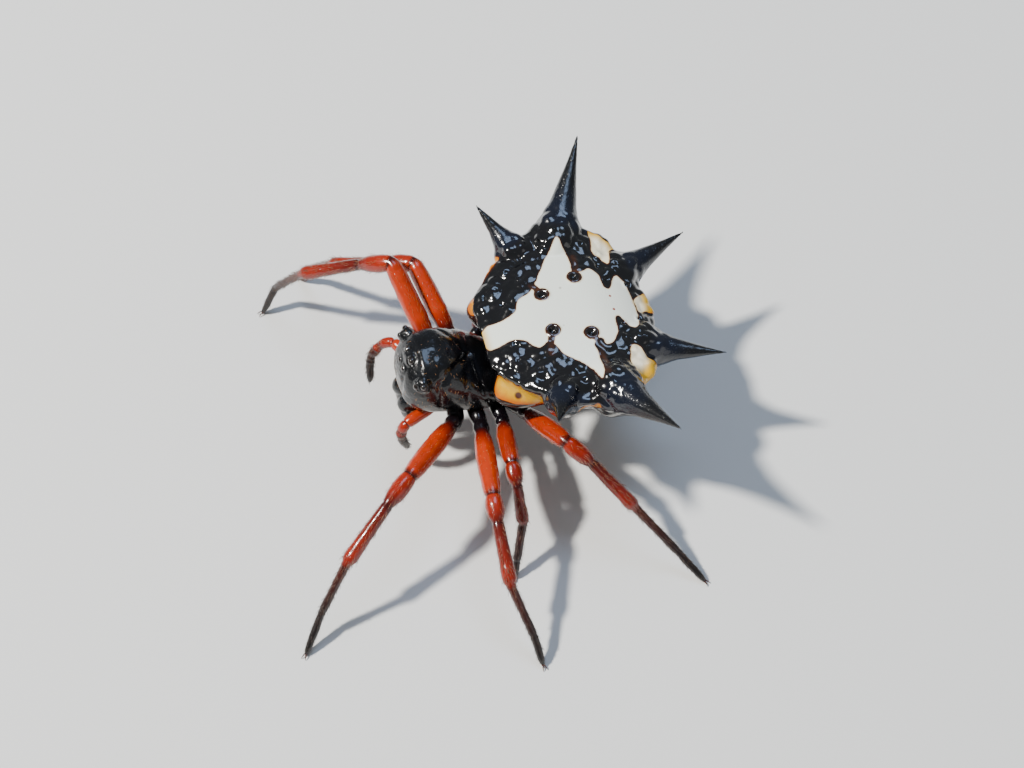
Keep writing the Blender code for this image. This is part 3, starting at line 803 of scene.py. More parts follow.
shell_normals = normals_of(shell, shell_squares)
on_top = soft_step(shell_lift, -0.55, -0.10)
off_spine = 1 - soft_step(spine_share, 0.10, 0.34)
rough_zone = soft_step(-white, -0.02, 0.20) * on_top
wobble = np.column_stack([waves(shell, 0.5, shift) for shift in (3.1, 17.7, 41.3)])
lumps = cobbles(shell + wobble * 0.10, LUMP_SIZE) - 0.35
folds = waves(shell * (1.0, 1.7, 1.0), FOLD_SIZE, 8.0)
height = rough_zone * off_spine * (LUMP_HEIGHT * lumps + FOLD_HEIGHT * folds)
height += GRAIN_HEIGHT * waves(shell, GRAIN_SIZE, 60.0) * (0.15 + 0.85 * np.maximum(rough_zone, 1 - on_top))
height += 0.030 * waves(shell, 0.9, 25.0) * (1 - on_top)
height += 0.012 * waves(shell, 1.1, 31.0) * on_top
print("back from", round(float(height.min()), 3), "to", round(float(height.max()), 3), "mm")

# %% Belly, knobs and pits
from_tip = np.hypot(shell[:, 0], shell[:, 1] - BELLY_TIP[1])
bearing = np.arctan2(shell[:, 0], shell[:, 1] - BELLY_TIP[1])
under = 1 - soft_step(shell[:, 2], 4.2, 5.0)
pleats = np.cos(bearing * PLEATS + 5.0 * waves(shell, 1.0, 70.0)) * soft_step(from_tip, 0.6, 1.2)
pleats *= soft_step(waves(shell, 0.8, 73.0), -0.3, 0.3)
height += under * (0.016 * pleats + 0.020 * waves(shell, 0.26, 77.0) + 0.014 * waves(shell, 0.55, 79.0))
height += 0.060 * under * bell(away_from(shell, WAIST_COLLAR) - WAIST_COLLAR_RADIUS, 0.10)
height -= 0.060 * under * bell(near_line(folded, GENITAL_FURROW), 0.07)
height += 0.110 * under * bell(away_from(shell, GENITAL_PLATE), 0.20)
for x, y, radius, rise_by in EDGE_KNOBS:
    knob = bell(away_from(folded[:, :2], (x, y)), radius)
    height += rise_by * knob * soft_step(shell_lift, -0.8, -0.2)
for place in PIT_PLACES:
    height += bowl(shell, top_at(shell, place), *PIT_BOWL)
for x, y in RIM_DIMPLES:
    for side in SIDES.values():
        height += bowl(shell, top_at(shell, (x * side, y)), *DIMPLE_BOWL)
shell = shell + shell_normals * height[:, None]
shell = relax(shell, shell_edges, 0.5 * rough_zone * off_spine, 2)
print("relief from", round(float(height.min()), 3), "to", round(float(height.max()), 3), "mm")

# %% [markdown]
# ## The shell's finish
#
# The black is a deep lacquer, drier on the spines and brown where it thins round the pits. Near the feet of
# the spines it carries a painted blue sheen, a painted reflection of the bluish panel. The white is the chalk
# colour of stored guanine under clear cuticle, warm at its border and turning yellow and orange where a patch
# reaches the edge of the shield. Both are glossy, so one shader does for all, with a coat over it.

# %% Shell colours
LACQUER = (0.0030, 0.0030, 0.0036)
# Painted blue sheen: a blue tint in the black that stands in for a reflection of the bluish panel.
PAINTED_BLUE_SHEEN = (0.0030, 0.0048, 0.0120)
THIN_BROWN = (0.050, 0.015, 0.004)
BONE_WHITE = (0.80, 0.84, 0.75)
BUTTER = (0.68, 0.38, 0.003)
ORANGE = (0.48, 0.115, 0.0002)
RUST = (0.075, 0.014, 0.003)
DOT_RED = (0.26, 0.030, 0.006)
print("white of the shell", BONE_WHITE)

# %% Shell finish
shell_paint = Finish("shell_lacquer")
place = shell_paint.place()
ragged = (shell_paint.grain(place, 5.0, 3.0) - 0.5) * 0.07
depth_in = shell_paint.mark("pale") + ragged
is_pale = depth_in.step(-0.012, 0.012)
warm = shell_paint.mark("warm")
border = 1 - depth_in.step(0.0, 0.07)
pale_colour = warm.step(0.0, 0.5).between(BONE_WHITE, BUTTER)
pale_colour = (border * 0.40).between(pale_colour, BUTTER)
pale_colour = (warm + ragged * 3).step(0.45, 1.0).between(pale_colour, ORANGE)
outline = (1 - depth_in.step(0.02, 0.15)) * warm.step(0.40, 0.55)
pale_colour = (outline * 0.85).between(pale_colour, ORANGE)
thin = shell_paint.mark("thin") * shell_paint.grain(place, 2.0).step(0.25, 0.75)
# The black turns towards the painted blue sheen where the blue mark is high, at the feet of the spines.
dark = shell_paint.mark("blue").between(LACQUER, PAINTED_BLUE_SHEEN)
dark = thin.between(dark, THIN_BROWN)
halo = depth_in.step(-0.06, -0.005)
dark = (halo * 0.80).between(dark, RUST)
freckles = (1 - shell_paint.cells(place, 1.1).step(0.04, 0.09)) * 0.4
pale_colour = freckles.between(pale_colour, RUST)
for spot in RED_DOTS:
    dot = 1 - (shell_paint.near(place, spot) + ragged).step(0.035, 0.075)
    pale_colour = dot.between(pale_colour, DOT_RED)
spotted = is_pale
for side in SIDES.values():
    away = shell_paint.near(place, on_side(SHOULDER_SPOT, side)) + ragged
    spotted = spotted * away.step(SHOULDER_SPOT_HALF - 0.07, SHOULDER_SPOT_HALF + 0.03)
dry = shell_paint.mark("dry").step(0.10, 0.40)
pores = shell_paint.cells(place, 9.0).step(0.10, 0.45)
fine = shell_paint.grain(place, 16.0, 4.0)
shell_paint.lay(
    base_color=spotted.between(dark, pale_colour),
    roughness=is_pale * 0.16 + 0.16 + dry * 0.10 + (fine - 0.5) * 0.08,
    coat_weight=0.75 - is_pale * 0.52 - dry * 0.40,
    coat_roughness=0.10,
    specular_ior_level=0.45,
    normal=shell_paint.relief((pores * 0.6 + fine * 0.5) * (dry * 0.75 + 0.25), 0.014),
)

# %% The shell as one piece
near_rim = soft_step(shell_share, 0.86, 1.02)
warm_mark = np.where(shoulder > -0.1, 0.54 + 0.45 * soft_step(5.22 - shell[:, 2], 0.0, 0.50), 0.0)
edge_warmth = 0.18 + 0.34 * soft_step(shell_share, 0.86, 0.99)
warm_mark = np.maximum(warm_mark, np.where(edge > -0.1, edge_warmth, 0.0))
warm_mark = np.maximum(warm_mark, np.where(np.maximum(flank, belly) > -0.1, 0.55, 0.0))
warm_mark = np.maximum(warm_mark, np.where(white > -0.1, 0.40 * near_rim, 0.0))
thin_mark = bell(np.abs(pits - 0.27), 0.07) + soft_step(-stalks, -0.05, 0.08) * soft_step(pits, 0.2, 0.3)
thin_mark *= on_top
thin_mark = np.maximum(thin_mark, 0.40 * (1 - on_top) * (1 - soft_step(shell_share, 0.93, 1.0)))
thin_mark = np.maximum(thin_mark, 0.85 * bell(shoulder + 0.16, 0.26) * soft_step(-shell_lift, 0.5, 0.9))
# Where the painted blue sheen lies: on the feet of the spines, fading before their middles.
painted_sheen_mark = soft_step(spine_share, 0.02, 0.12) * (1 - soft_step(spine_share, 0.30, 0.60))
make_piece(
    "shell", shell, shell_squares, shell_paint, "shield", ["abdomen"],
    {
        "pale": pale, "warm": warm_mark, "thin": thin_mark, "blue": painted_sheen_mark,
        "dry": np.maximum(spine_share, 0.24 * under),
    },
)
print("shell from", shell.min(0).round(2), "to", shell.max(0).round(2))

# %% [markdown]
# ## The head and thorax
#
# One high black shell carries the eyes in front and drops steeply to the waist behind. Its cross-sections
# are rounded boxes. Two short horns carry the side eyes, a low mound the middle ones, and the narrow waist
# runs back under the shield. Below, a heart-shaped breast plate lies between the hips, and in front of it a
# lip between the bases of the palps. They are all melted into one skin, as the abdomen was.

# %% Head sections
# Place along the body, half width, underside and top of each
HEAD_SECTIONS = (
    (-3.50, 0.70, 3.95, 4.85), (-3.38, 1.00, 3.62, 5.22), (-3.12, 1.24, 3.24, 5.55),
    (-2.70, 1.39, 2.94, 5.78), (-2.20, 1.47, 2.80, 5.84), (-1.65, 1.53, 2.75, 5.64),
    (-1.10, 1.60, 2.74, 5.22), (-0.60, 1.64, 2.76, 4.78), (-0.10, 1.52, 2.82, 4.44),
    (0.24, 1.16, 2.98, 4.16), (0.42, 0.66, 3.22, 3.90),
)
HEAD_SQUARENESS, HEAD_VOXEL = 2.7, 0.045
HORN_PATH = ((1.00, -2.72, 5.10), (1.22, -2.86, 5.26), (1.38, -2.96, 5.36))
HORN_WIDTHS = (0.80, 0.66, 0.46)
EYE_MOUND = ((0.0, -2.60, 5.20), (0.0, -3.16, 5.30), (0.0, -3.28, 5.32))
EYE_MOUND_WIDTHS = (1.10, 0.86, 0.50)
WAIST_PATH = ((0.0, -0.40, 3.55), (0.0, 0.40, 3.60), (0.0, 1.00, 3.68), (0.0, 1.50, 3.90), (0.0, 2.00, 4.20))
WAIST_WIDTHS = (0.80, 0.66, 0.50, 0.56, 0.72)
UNDERSIDE_RISE = 0.20
BREAST_PLATE = (
    (0.0, -1.98), (0.52, -1.90), (0.62, -1.30), (0.72, -1.08), (0.70, -0.60), (0.56, -0.20), (0.20, 0.10),
    (0.0, 0.16),
)
BREAST_RINGS = ((1.0, 3.25), (1.0, 2.95), (0.95, 2.87), (0.80, 2.83), (0.40, 2.79))
PALP_BASE = ((0.80, -2.20, 3.10), (0.56, -2.42, 2.98), (0.30, -2.80, 2.96))
PALP_BASE_WIDTHS = (0.56, 0.54, 0.34)
LIP, LIP_WIDTHS = ((0.0, -1.90, 2.96), (0.0, -2.30, 2.93)), (0.46, 0.30)

# %% Head forms
def head_form():
    """Rounded boxes along the body, the underside drawn up between the hips."""
    turn = np.arange(56) * math.tau / 56
    c, s = np.cos(turn), np.sin(turn)
    power = 2 / HEAD_SQUARENESS
    rings = []
    for y, half_width, bottom, top in smooth_row(HEAD_SECTIONS, 5):
        x = half_width * np.sign(c) * np.abs(c) ** power
        z = (top + bottom) / 2 + (top - bottom) / 2 * np.sign(s) * np.abs(s) ** power
        z += UNDERSIDE_RISE * soft_step(3.35 - z, 0.0, 0.5) * soft_step(-abs(y + 1.2), -1.9, -1.4)
        rings.append(np.column_stack([x, np.full(len(x), y), z]))
    return loft(rings)


def breast_form():
    """The breast plate: rings of its outline that rise and shrink downwards."""
    half = np.array(BREAST_PLATE)
    outline = smooth_row(np.vstack([half, half[-2:0:-1] * (-1, 1)]), 5, closed=True)
    middle = outline.mean(0)
    rings = []
    for share, z in BREAST_RINGS:
        ring = middle + (outline - middle) * share
        rings.append(np.column_stack([ring, np.full(len(ring), z)]))
    return loft(rings)


def stem_form(path, widths, sides=20, steps=6):
    """A round stem through a few points, with a width at each."""
    row = smooth_row(np.column_stack([path, widths]), steps)
    return loft(tube_rings(row[:, :3], row[:, 3], sides))


# %% Melt the head
head_parts = [head_form(), stem_form(EYE_MOUND, EYE_MOUND_WIDTHS), stem_form(WAIST_PATH, WAIST_WIDTHS)]
head_parts += [breast_form(), stem_form(LIP, LIP_WIDTHS)]
for side in SIDES.values():
    head_parts.append(stem_form(on_side(HORN_PATH, side), HORN_WIDTHS))
    head_parts.append(stem_form(on_side(PALP_BASE, side), PALP_BASE_WIDTHS))
head, head_squares = melt(head_parts, HEAD_VOXEL, 6)
print("head points", len(head))

# %% [markdown]
# The furrow that parts head from thorax is a V in plan, with a pit at its point, and shallower furrows
# fan out from that pit. Each eye sits in a raised ring. Between them the shell is lumpy, with fine pores.

# %% Press the relief into the head
EYES = {
    "front_median": ((0.22, -3.29, 5.14), 0.34), "rear_median": ((0.27, -3.02, 5.60), 0.32),
    "front_lateral": ((1.24, -3.10, 5.28), 0.26), "rear_lateral": ((1.42, -2.86, 5.40), 0.26),
}
HEAD_PIT, HEAD_PIT_BOWL = (0.0, -0.74), (0.20, 0.12, 0.01)
HEAD_FURROW = ((0.0, -0.82), (0.45, -1.12), (0.95, -1.60), (1.40, -2.25))
FAN_FURROWS = (((0.15, -0.66), (0.9, -0.62), (1.5, -0.52)), ((0.2, -0.86), (0.9, -1.05), (1.5, -1.20)))
# Place, radius and rise
CREST_LUMPS = (
    (0.42, -1.95, 5.80, 0.34, 0.060), (0.95, -2.00, 5.60, 0.36, 0.055), (0.55, -1.20, 5.28, 0.30, 0.045),
    (0.00, -3.50, 4.30, 0.62, 0.080), (0.78, -3.34, 3.90, 0.34, 0.060),
)
FACE_FURROW = ((0.52, -3.44, 5.00), (0.62, -3.46, 4.50), (0.46, -3.44, 4.00))
EYE_RIDGE = ((0.0, -2.62, 5.80), (0.70, -2.66, 5.72), (1.15, -2.78, 5.50))
MIDLINE_RIDGE = ((0.0, -2.90, 5.70), (0.0, -2.10, 5.84))

head_normals = normals_of(head, head_squares)
head_folded = np.column_stack([np.abs(head[:, 0]), head[:, 1:]])
upper = soft_step(head[:, 2], 3.6, 4.2) * (1 - soft_step(head[:, 1], 0.1, 0.4))
height = -0.075 * bell(near_line(head_folded[:, :2], HEAD_FURROW), 0.12) * upper
for furrow in FAN_FURROWS:
    height -= 0.035 * bell(near_line(head_folded[:, :2], furrow), 0.10) * upper
height += bowl(head, top_at(head, HEAD_PIT), *HEAD_PIT_BOWL)
height += 0.060 * bell(near_line(head_folded, EYE_RIDGE), 0.16)
height += 0.035 * bell(near_line(head_folded, MIDLINE_RIDGE), 0.15)
height -= 0.045 * bell(near_line(head_folded, FACE_FURROW), 0.11)
for x, y, z, radius, rise_by in CREST_LUMPS:
    height += rise_by * bell(away_from(head_folded, (x, y, z)), radius)
height += 0.018 * waves(head, 0.42, 5.0) * upper + 0.006 * waves(head, 0.12, 9.0)
for centre, width in EYES.values():
    height += 0.030 * bell(away_from(head_folded, centre) - width * 0.60, width * 0.16)
head = head + head_normals * height[:, None]
print("head relief from", round(float(height.min()), 3), "to", round(float(height.max()), 3))

# %% Head finish
head_paint = Finish("head_lacquer")
place = head_paint.place()
pores = head_paint.cells(place, 7.5).step(0.08, 0.38)
fine = head_paint.grain(place, 13.0, 4.0)
cloud = head_paint.grain(place, 1.3).step(0.35, 0.75)
head_paint.lay(
    base_color=cloud.between(LACQUER, (0.0040, 0.0048, 0.0070)),
    roughness=cloud * 0.08 + 0.20 + (fine - 0.5) * 0.10,
    coat_weight=0.35,
    coat_roughness=0.07,
    specular_ior_level=0.34,
    normal=head_paint.relief(pores * 0.7 + fine * 0.5, 0.009),
)
make_piece("head", head, head_squares, head_paint, "black_shell", ["cephalothorax", "pedicel"])

# %% [markdown]
# ## Eyes
#
# She has eight, all simple lenses: four in a small square on the middle mound and two on each horn. Each is
# a polished dome over a narrow collar that seats it in its ring, a little darker than the shell, and it
# looks out along the line from the middle of the head.

# %% Lenses
HEAD_MIDDLE = np.array((0.0, -2.30, 4.70))
DOME_TURNS = np.radians((4, 14, 26, 38, 50, 62, 74, 86, 98))

eye_paint = Finish("lens")
deep = eye_paint.grain(eye_paint.place(), 6.0)
eye_paint.lay(
    base_color=deep.between((0.004, 0.003, 0.003), (0.014, 0.007, 0.004)),
    roughness=deep * 0.02 + 0.03,
    coat_weight=1.0,
    coat_roughness=0.02,
    ior=1.5,
)


def lens_form(centre, width, outward):
    """A dome over a collar: rings round the line it looks along."""
    outward = Vector(outward).normalized()
    out = outward.orthogonal().normalized()
    over = outward.cross(out)
    turn = np.arange(28) * math.tau / 28
    circle = np.array(out) * np.cos(turn)[:, None] + np.array(over) * np.sin(turn)[:, None]
    profile = [(math.sin(a) * width / 2, math.cos(a) * width / 2) for a in DOME_TURNS]
    profile += [(width * 0.53, -width * 0.10), (width * 0.54, -width * 0.20), (width * 0.40, -width * 0.45)]
    return loft([centre + circle * radius + np.array(outward) * level for radius, level in profile])


for eye_name, (centre, width) in EYES.items():
    for side_name, side in SIDES.items():
        spot = on_side(centre, side)
        make_piece(
            f"lens_{eye_name}_{side_name}", *lens_form(spot, width, spot - HEAD_MIDDLE), eye_paint,
            "eye_lens", [f"eye_{eye_name}_{side_name}"],
        )
print("lenses", len(EYES) * 2)

# %% [markdown]
# ## Jaws and fangs
#
# The jaws hang from the front of the head like two short barrels, side by side. Each has a small boss on
# its outer shoulder and three teeth along the groove into which the fang folds. The fang is a claw of its
# own, smooth and red-brown, so it stays a separate piece.

# %% Jaws
JAW_PATH = ((0.41, -2.90, 3.75), (0.41, -3.12, 3.25), (0.40, -3.22, 2.70), (0.34, -3.20, 2.24))
JAW_WIDTHS = (0.70, 0.80, 0.76, 0.50)
JAW_VOXEL = 0.030
JAW_BULGE = ((0.43, -3.14, 3.58), (0.43, -3.36, 3.22), (0.40, -3.34, 2.80))
JAW_BULGE_WIDTHS = (0.50, 0.68, 0.50)
JAW_BOSS, JAW_BOSS_WIDTHS = ((0.62, -3.16, 3.42), (0.80, -3.22, 3.36)), (0.34, 0.16)
JAW_TEETH = ((0.17, -3.22, 2.42), (0.15, -3.12, 2.34), (0.20, -3.32, 2.36))
TOOTH_REACH, TOOTH_WIDTHS = (-0.02, 0.01, -0.13), (0.13, 0.03)
FANG_PATH = ((0.40, -3.21, 2.36), (0.38, -3.29, 2.10), (0.27, -3.17, 1.94), (0.16, -2.99, 1.96))
FANG_WIDTHS = (0.30, 0.23, 0.14, 0.03)

fang_paint = Finish("fang_horn")
streak = fang_paint.grain(fang_paint.place(), 9.0)
fang_paint.lay(
    base_color=streak.between((0.030, 0.006, 0.003), (0.085, 0.018, 0.006)),
    roughness=streak * 0.1 + 0.14,
    coat_weight=0.6,
    coat_roughness=0.05,
)
jaws = {}
for side_name, side in SIDES.items():
    parts = [
        stem_form(on_side(JAW_PATH, side), JAW_WIDTHS),
        stem_form(on_side(JAW_BULGE, side), JAW_BULGE_WIDTHS),
        stem_form(on_side(JAW_BOSS, side), JAW_BOSS_WIDTHS),
    ]
    for tooth in JAW_TEETH:
        ends = on_side((tooth, np.add(tooth, TOOTH_REACH)), side)
        parts.append(stem_form(ends, TOOTH_WIDTHS, 10))
    jaw, jaw_squares = melt(parts, JAW_VOXEL, 4)
    jaw = jaw + normals_of(jaw, jaw_squares) * (0.012 * waves(jaw, 0.20, 2.0))[:, None]
    jaws[side_name] = (jaw, jaw_squares)
    make_piece("jaw_" + side_name, jaw, jaw_squares, head_paint, "black_shell", ["chelicera_" + side_name])
    fang = stem_form(on_side(FANG_PATH, side), FANG_WIDTHS, 16, 8)
    make_piece("fang_" + side_name, *fang, fang_paint, "dark_cuticle")
print("jaw points", len(jaw))

# %% [markdown]
# ## Legs
#
# A leg has seven segments: hip, trochanter, thigh, kneecap, shin, and the two long pieces of the foot. The
# solids give it three nodes with slots at the joints. Here it is one skin along one centre line. Real
# joints aren't bends in a pipe: each segment swells a little before its end, and the next starts thin, with
# soft pleated membrane between. A profile of widths along the segments says all that.

# %% Leg centre lines
# Start of the hip, its end, the ends of thigh, kneecap, shin and first foot piece, and the tip
LEGS = {
    "leg_1_left": (
        (0.85, -1.62, 3.08), (1.53, -1.66, 3.02), (4.27, -4.16, 4.08), (5.19, -5.25, 3.92),
        (6.57, -7.18, 2.83), (7.41, -8.44, 1.13), (8.37, -9.31, 0.10),
    ),
    "leg_2_left": (
        (0.95, -0.90, 3.08), (1.96, -0.84, 3.02), (5.64, -1.34, 3.66), (6.69, -1.43, 3.40),
        (8.84, -1.52, 2.38), (10.41, -1.04, 0.94), (11.16, -0.92, 0.10),
    ),
    "leg_3_left": (
        (0.95, -0.10, 3.08), (1.96, 0.01, 3.00), (4.22, -0.21, 3.32), (5.10, -0.25, 3.05),
        (6.03, -0.27, 1.89), (6.85, -0.73, 0.68), (7.21, -0.93, 0.10),
    ),
    "leg_4_left": (
        (0.80, 0.10, 3.10), (1.72, 0.88, 2.95), (4.49, 1.82, 4.34), (5.31, 2.60, 3.77),
        (6.71, 3.91, 2.26), (8.27, 5.25, 0.83), (9.28, 5.97, 0.10),
    ),
    "leg_1_right": (
        (-0.85, -1.62, 3.08), (-1.53, -1.68, 3.02), (-4.68, -2.57, 5.28), (-5.46, -3.66, 4.60),
        (-6.62, -5.81, 3.28), (-7.71, -6.78, 1.32), (-7.54, -7.40, 0.10),
    ),
    "leg_2_right": (
        (-0.95, -0.90, 3.08), (-1.96, -0.84, 3.02), (-4.90, -1.65, 4.66), (-5.57, -2.63, 4.18),
        (-7.01, -4.56, 2.97), (-8.45, -5.20, 1.00), (-8.77, -5.56, 0.10),
    ),
    "leg_3_right": (
        (-0.95, -0.10, 3.08), (-1.96, 0.01, 3.00), (-3.89, 1.21, 3.51), (-4.60, 1.60, 3.10),
        (-5.50, 2.10, 1.90), (-6.20, 2.45, 0.70), (-6.60, 2.72, 0.10),
    ),
    "leg_4_right": (
        (-0.80, 0.10, 3.10), (-1.72, 0.88, 2.95), (-4.25, 2.38, 4.00), (-4.98, 3.22, 3.66),
        (-5.50, 5.05, 2.42), (-5.90, 6.50, 0.78), (-6.30, 7.40, 0.10),
    ),
}
print("feet at", [joints[-1][:2] for joints in LEGS.values()])

# %% Widths along a leg
LEG_GIRTH = {"1": 1.0, "2": 0.98, "3": 0.88, "4": 0.96}
# Width in millimetres at a station: segment number, with the share of the way along it
LEG_WIDTHS = (
    (0.00, 0.58), (0.55, 0.66), (0.88, 0.64), (1.00, 0.52), (1.05, 0.66), (1.11, 0.66), (1.15, 0.54),
    (1.22, 0.68), (1.40, 0.79), (1.66, 0.79), (1.86, 0.74), (1.96, 0.67), (2.02, 0.52), (2.12, 0.66),
    (2.40, 0.73), (2.66, 0.68), (2.86, 0.56), (2.97, 0.44), (3.05, 0.47), (3.30, 0.49), (3.66, 0.53),
    (3.86, 0.58), (3.955, 0.55), (4.01, 0.34), (4.07, 0.35), (4.50, 0.31), (4.90, 0.32), (4.97, 0.29),
    (5.00, 0.23), (5.06, 0.28), (5.40, 0.30), (5.80, 0.25), (5.94, 0.19), (6.00, 0.11),
)
LEG_SIDES = 24
RINGS_PER_SEGMENT = (10, 40, 18, 30, 26, 20)
BEND_REACH = 0.22

# %% Rings along a leg
def leg_line(joints):
    """Rings' middles along a leg, with the station of each, the bends at the joints rounded."""
    joints = np.array(joints)
    stations, middles = [], []
    for k, (start, end) in enumerate(zip(joints, joints[1:])):
        share = np.arange(RINGS_PER_SEGMENT[k]) / RINGS_PER_SEGMENT[k]
        stations.append(k + share)
        middles.append(start + (end - start) * share[:, None])
    stations = np.append(np.concatenate(stations), 6.0)
    middles = np.vstack(middles + [joints[-1:]])
    lengths = walked(middles)
    fine = np.linspace(0, lengths[-1], 900)
    line = np.column_stack([np.interp(fine, lengths, middles[:, k]) for k in range(3)])
    window = np.hanning(2 * int(BEND_REACH / (fine[1] - fine[0])) + 1)
    window /= window.sum()
    pad = len(window) // 2
    before = line[0] + (line[0] - line[1]) * np.arange(pad, 0, -1)[:, None]
    after = line[-1] + (line[-1] - line[-2]) * np.arange(1, pad + 1)[:, None]
    padded = np.vstack([before, line, after])
    rounded = np.column_stack([np.convolve(padded[:, k], window, "valid") for k in range(3)])
    return stations, np.column_stack([np.interp(lengths, fine, rounded[:, k]) for k in range(3)])


def leg_widths(stations, girth):
    """Widths along a leg, its thick segments as stout as the pair asks."""
    widths = read_off(LEG_WIDTHS, stations)
    soft = np.convolve(np.pad(widths, 1, "edge"), (0.25, 0.5, 0.25), "valid")
    slim = np.where(stations < 4, girth, 1.0)
    return soft * slim


print("leg rings", sum(RINGS_PER_SEGMENT) + 1)

# %% [markdown]
# The kneecap and the joints are where light catches, so the skin gets two small reliefs. Fine folds run
# round each membrane, and the hard parts between are a little uneven. The station of every point is kept
# as a mark, and one ramp over it colours the leg: black hip, orange-red thigh, darker shin, black foot.

# %% Leg finish
JOINT_STATIONS = (1.0, 1.13, 2.02, 2.98, 4.01, 5.0)
PLEAT_DEPTH, PLEAT_LENGTH = 0.022, 0.030
LEG_COLOURS = (
    (0.00, (0.004, 0.003, 0.004)), (1.14, (0.005, 0.003, 0.004)), (1.26, (0.19, 0.009, 0.001)),
    (1.40, (0.43, 0.029, 0.001)), (1.85, (0.41, 0.027, 0.001)), (1.97, (0.38, 0.023, 0.001)),
    (2.00, (0.05, 0.003, 0.001)), (2.04, (0.05, 0.003, 0.001)), (2.08, (0.32, 0.017, 0.001)),
    (2.60, (0.27, 0.013, 0.002)), (2.95, (0.11, 0.006, 0.002)), (3.02, (0.04, 0.002, 0.001)),
    (3.08, (0.10, 0.006, 0.002)), (3.30, (0.13, 0.008, 0.003)),
    (3.80, (0.26, 0.016, 0.004)), (3.98, (0.24, 0.014, 0.004)), (4.06, (0.060, 0.008, 0.004)),
    (4.60, (0.030, 0.006, 0.004)), (5.00, (0.012, 0.005, 0.004)), (6.00, (0.005, 0.004, 0.003)),
)
# Share of painted shade for each pair: the third and fourth pairs are darkened as if in the shield's shadow.
PAINTED_LEG_SHADE = {"1": 0.0, "2": 0.0, "3": 0.62, "4": 0.30}


def leg_finish(name, painted_shade):
    """Cuticle coloured by its station, with painted shade darkening the pairs that lie under the shield."""
    paint = Finish(name)
    place = paint.place()
    station = paint.mark("station")
    blur = (paint.grain(place, 2.2, 3.0) - 0.5) * 0.006
    colour = paint.ramp(station / 6 + blur, [(at / 6, tint) for at, tint in LEG_COLOURS])
    deep = paint.ramp(station / 6 + blur, [
        (at / 6, (tint[0] * 0.35, tint[1] * 0.30, tint[2] * 0.7)) for at, tint in LEG_COLOURS
    ])
    mottle = paint.grain(place, 3.5, 4.0).step(0.35, 0.75)
    # The mottle is the cuticle's own uneven tone. The share added to it is painted shade over the whole leg.
    colour = (mottle * 0.28 + painted_shade * 0.72).between(colour, deep)
    pits = paint.cells(place, 8.5).step(0.06, 0.30)
    fine = paint.grain(place, 15.0, 4.0)
    paint.lay(
        base_color=colour,
        roughness=(station / 6).step(0.60, 0.80) * 0.14 + 0.22 + (fine - 0.5) * 0.10,
        coat_weight=0.35,
        coat_roughness=0.07,
        specular_ior_level=0.42,
        normal=paint.relief(pits * 0.7 + fine * 0.4, 0.008),
    )
    return paint

# %% A limb's skin
def limb_skin(middles, stations, widths, sides):
    """Points and faces of a limb, its relief and the station and angle of each point."""
    rings = tube_rings(middles, widths, sides)
    outward = unit(rings - middles[:, None])
    flat = rings.reshape(-1, 3)
    pleats = np.zeros(len(stations))
    along = walked(middles)
    for joint in JOINT_STATIONS:
        place = np.interp(joint, stations, along)
        pleats += np.cos((along - place) / PLEAT_LENGTH * math.pi) * bell(along - place, 0.09)
    lift = PLEAT_DEPTH * pleats[:, None] + (0.016 * waves(flat, 0.34, 6.0)).reshape(len(stations), sides)
    rings = rings + outward * lift[..., None]
    points, faces = loft(rings)
    marks = np.concatenate([np.repeat(stations, sides), stations[[0, -1]]])
    return points, faces, marks, rings, outward

# %% The eight legs
LEG_NODES = ("femur", "tibia", "foot")
leg_paints = {pair: leg_finish("leg_cuticle_" + pair, share) for pair, share in PAINTED_LEG_SHADE.items()}
limbs = {}
for leg_name, joints in LEGS.items():
    pair = leg_name.split("_")[1]
    stations, middles = leg_line(joints)
    widths = leg_widths(stations, LEG_GIRTH[pair])
    points, faces, marks, rings, outward = limb_skin(middles, stations, widths, LEG_SIDES)
    points[:, 2] = np.maximum(points[:, 2], 0.0)
    limbs[leg_name] = (rings, outward, stations)
    nodes = [f"{leg_name}_{part}" for part in LEG_NODES]
    make_piece(leg_name, points, faces, leg_paints[pair], "red_cuticle", nodes, {"station": marks})
print("leg points", len(points))

# %% [markdown]
# ## Palps
#
# The palps are two short feelers beside the jaws, built like legs without the long foot. Hers are red with
# black, curved tips. The right one is stretched out in the photograph, and the left one is bent down.

# %% Palps
PALPS = {
    "left": ((0.76, -2.35, 3.08), (1.20, -3.54, 2.94), (1.22, -3.78, 2.20), (1.12, -3.52, 1.22)),
    "right": ((-0.76, -2.35, 3.08), (-2.37, -3.16, 3.30), (-2.58, -3.98, 2.55), (-2.05, -4.25, 1.51)),
}
# A station runs from 0 to 3: thigh, kneecap with shin, and the foot
PALP_WIDTHS = (
    (0.00, 0.40), (0.30, 0.46), (0.70, 0.50), (0.90, 0.46), (1.00, 0.36), (1.10, 0.43), (1.36, 0.43),
    (1.48, 0.33), (1.60, 0.38), (1.90, 0.40), (2.02, 0.29), (2.12, 0.34), (2.50, 0.34), (2.80, 0.29),
    (2.93, 0.21), (3.00, 0.10),
)
PALP_TO_LEG = ((0.0, 1.2), (0.9, 1.90), (1.4, 2.7), (1.7, 4.05), (2.1, 4.8), (3.0, 5.9))
PALP_RINGS = 26
for side_name, joints in PALPS.items():
    path = smooth_row(joints, PALP_RINGS)
    share = np.linspace(0, 3, len(path))
    widths = read_off(PALP_WIDTHS, share)
    stations = read_off(PALP_TO_LEG, share)
    points, faces, marks, rings, outward = limb_skin(path, stations, widths, 20)
    palp_name = "palp_" + side_name
    limbs[palp_name] = (rings, outward, stations)
    make_piece(palp_name, points, faces, leg_paints["1"], "red_cuticle", [palp_name], {"station": marks})
print("palp rings", len(path))

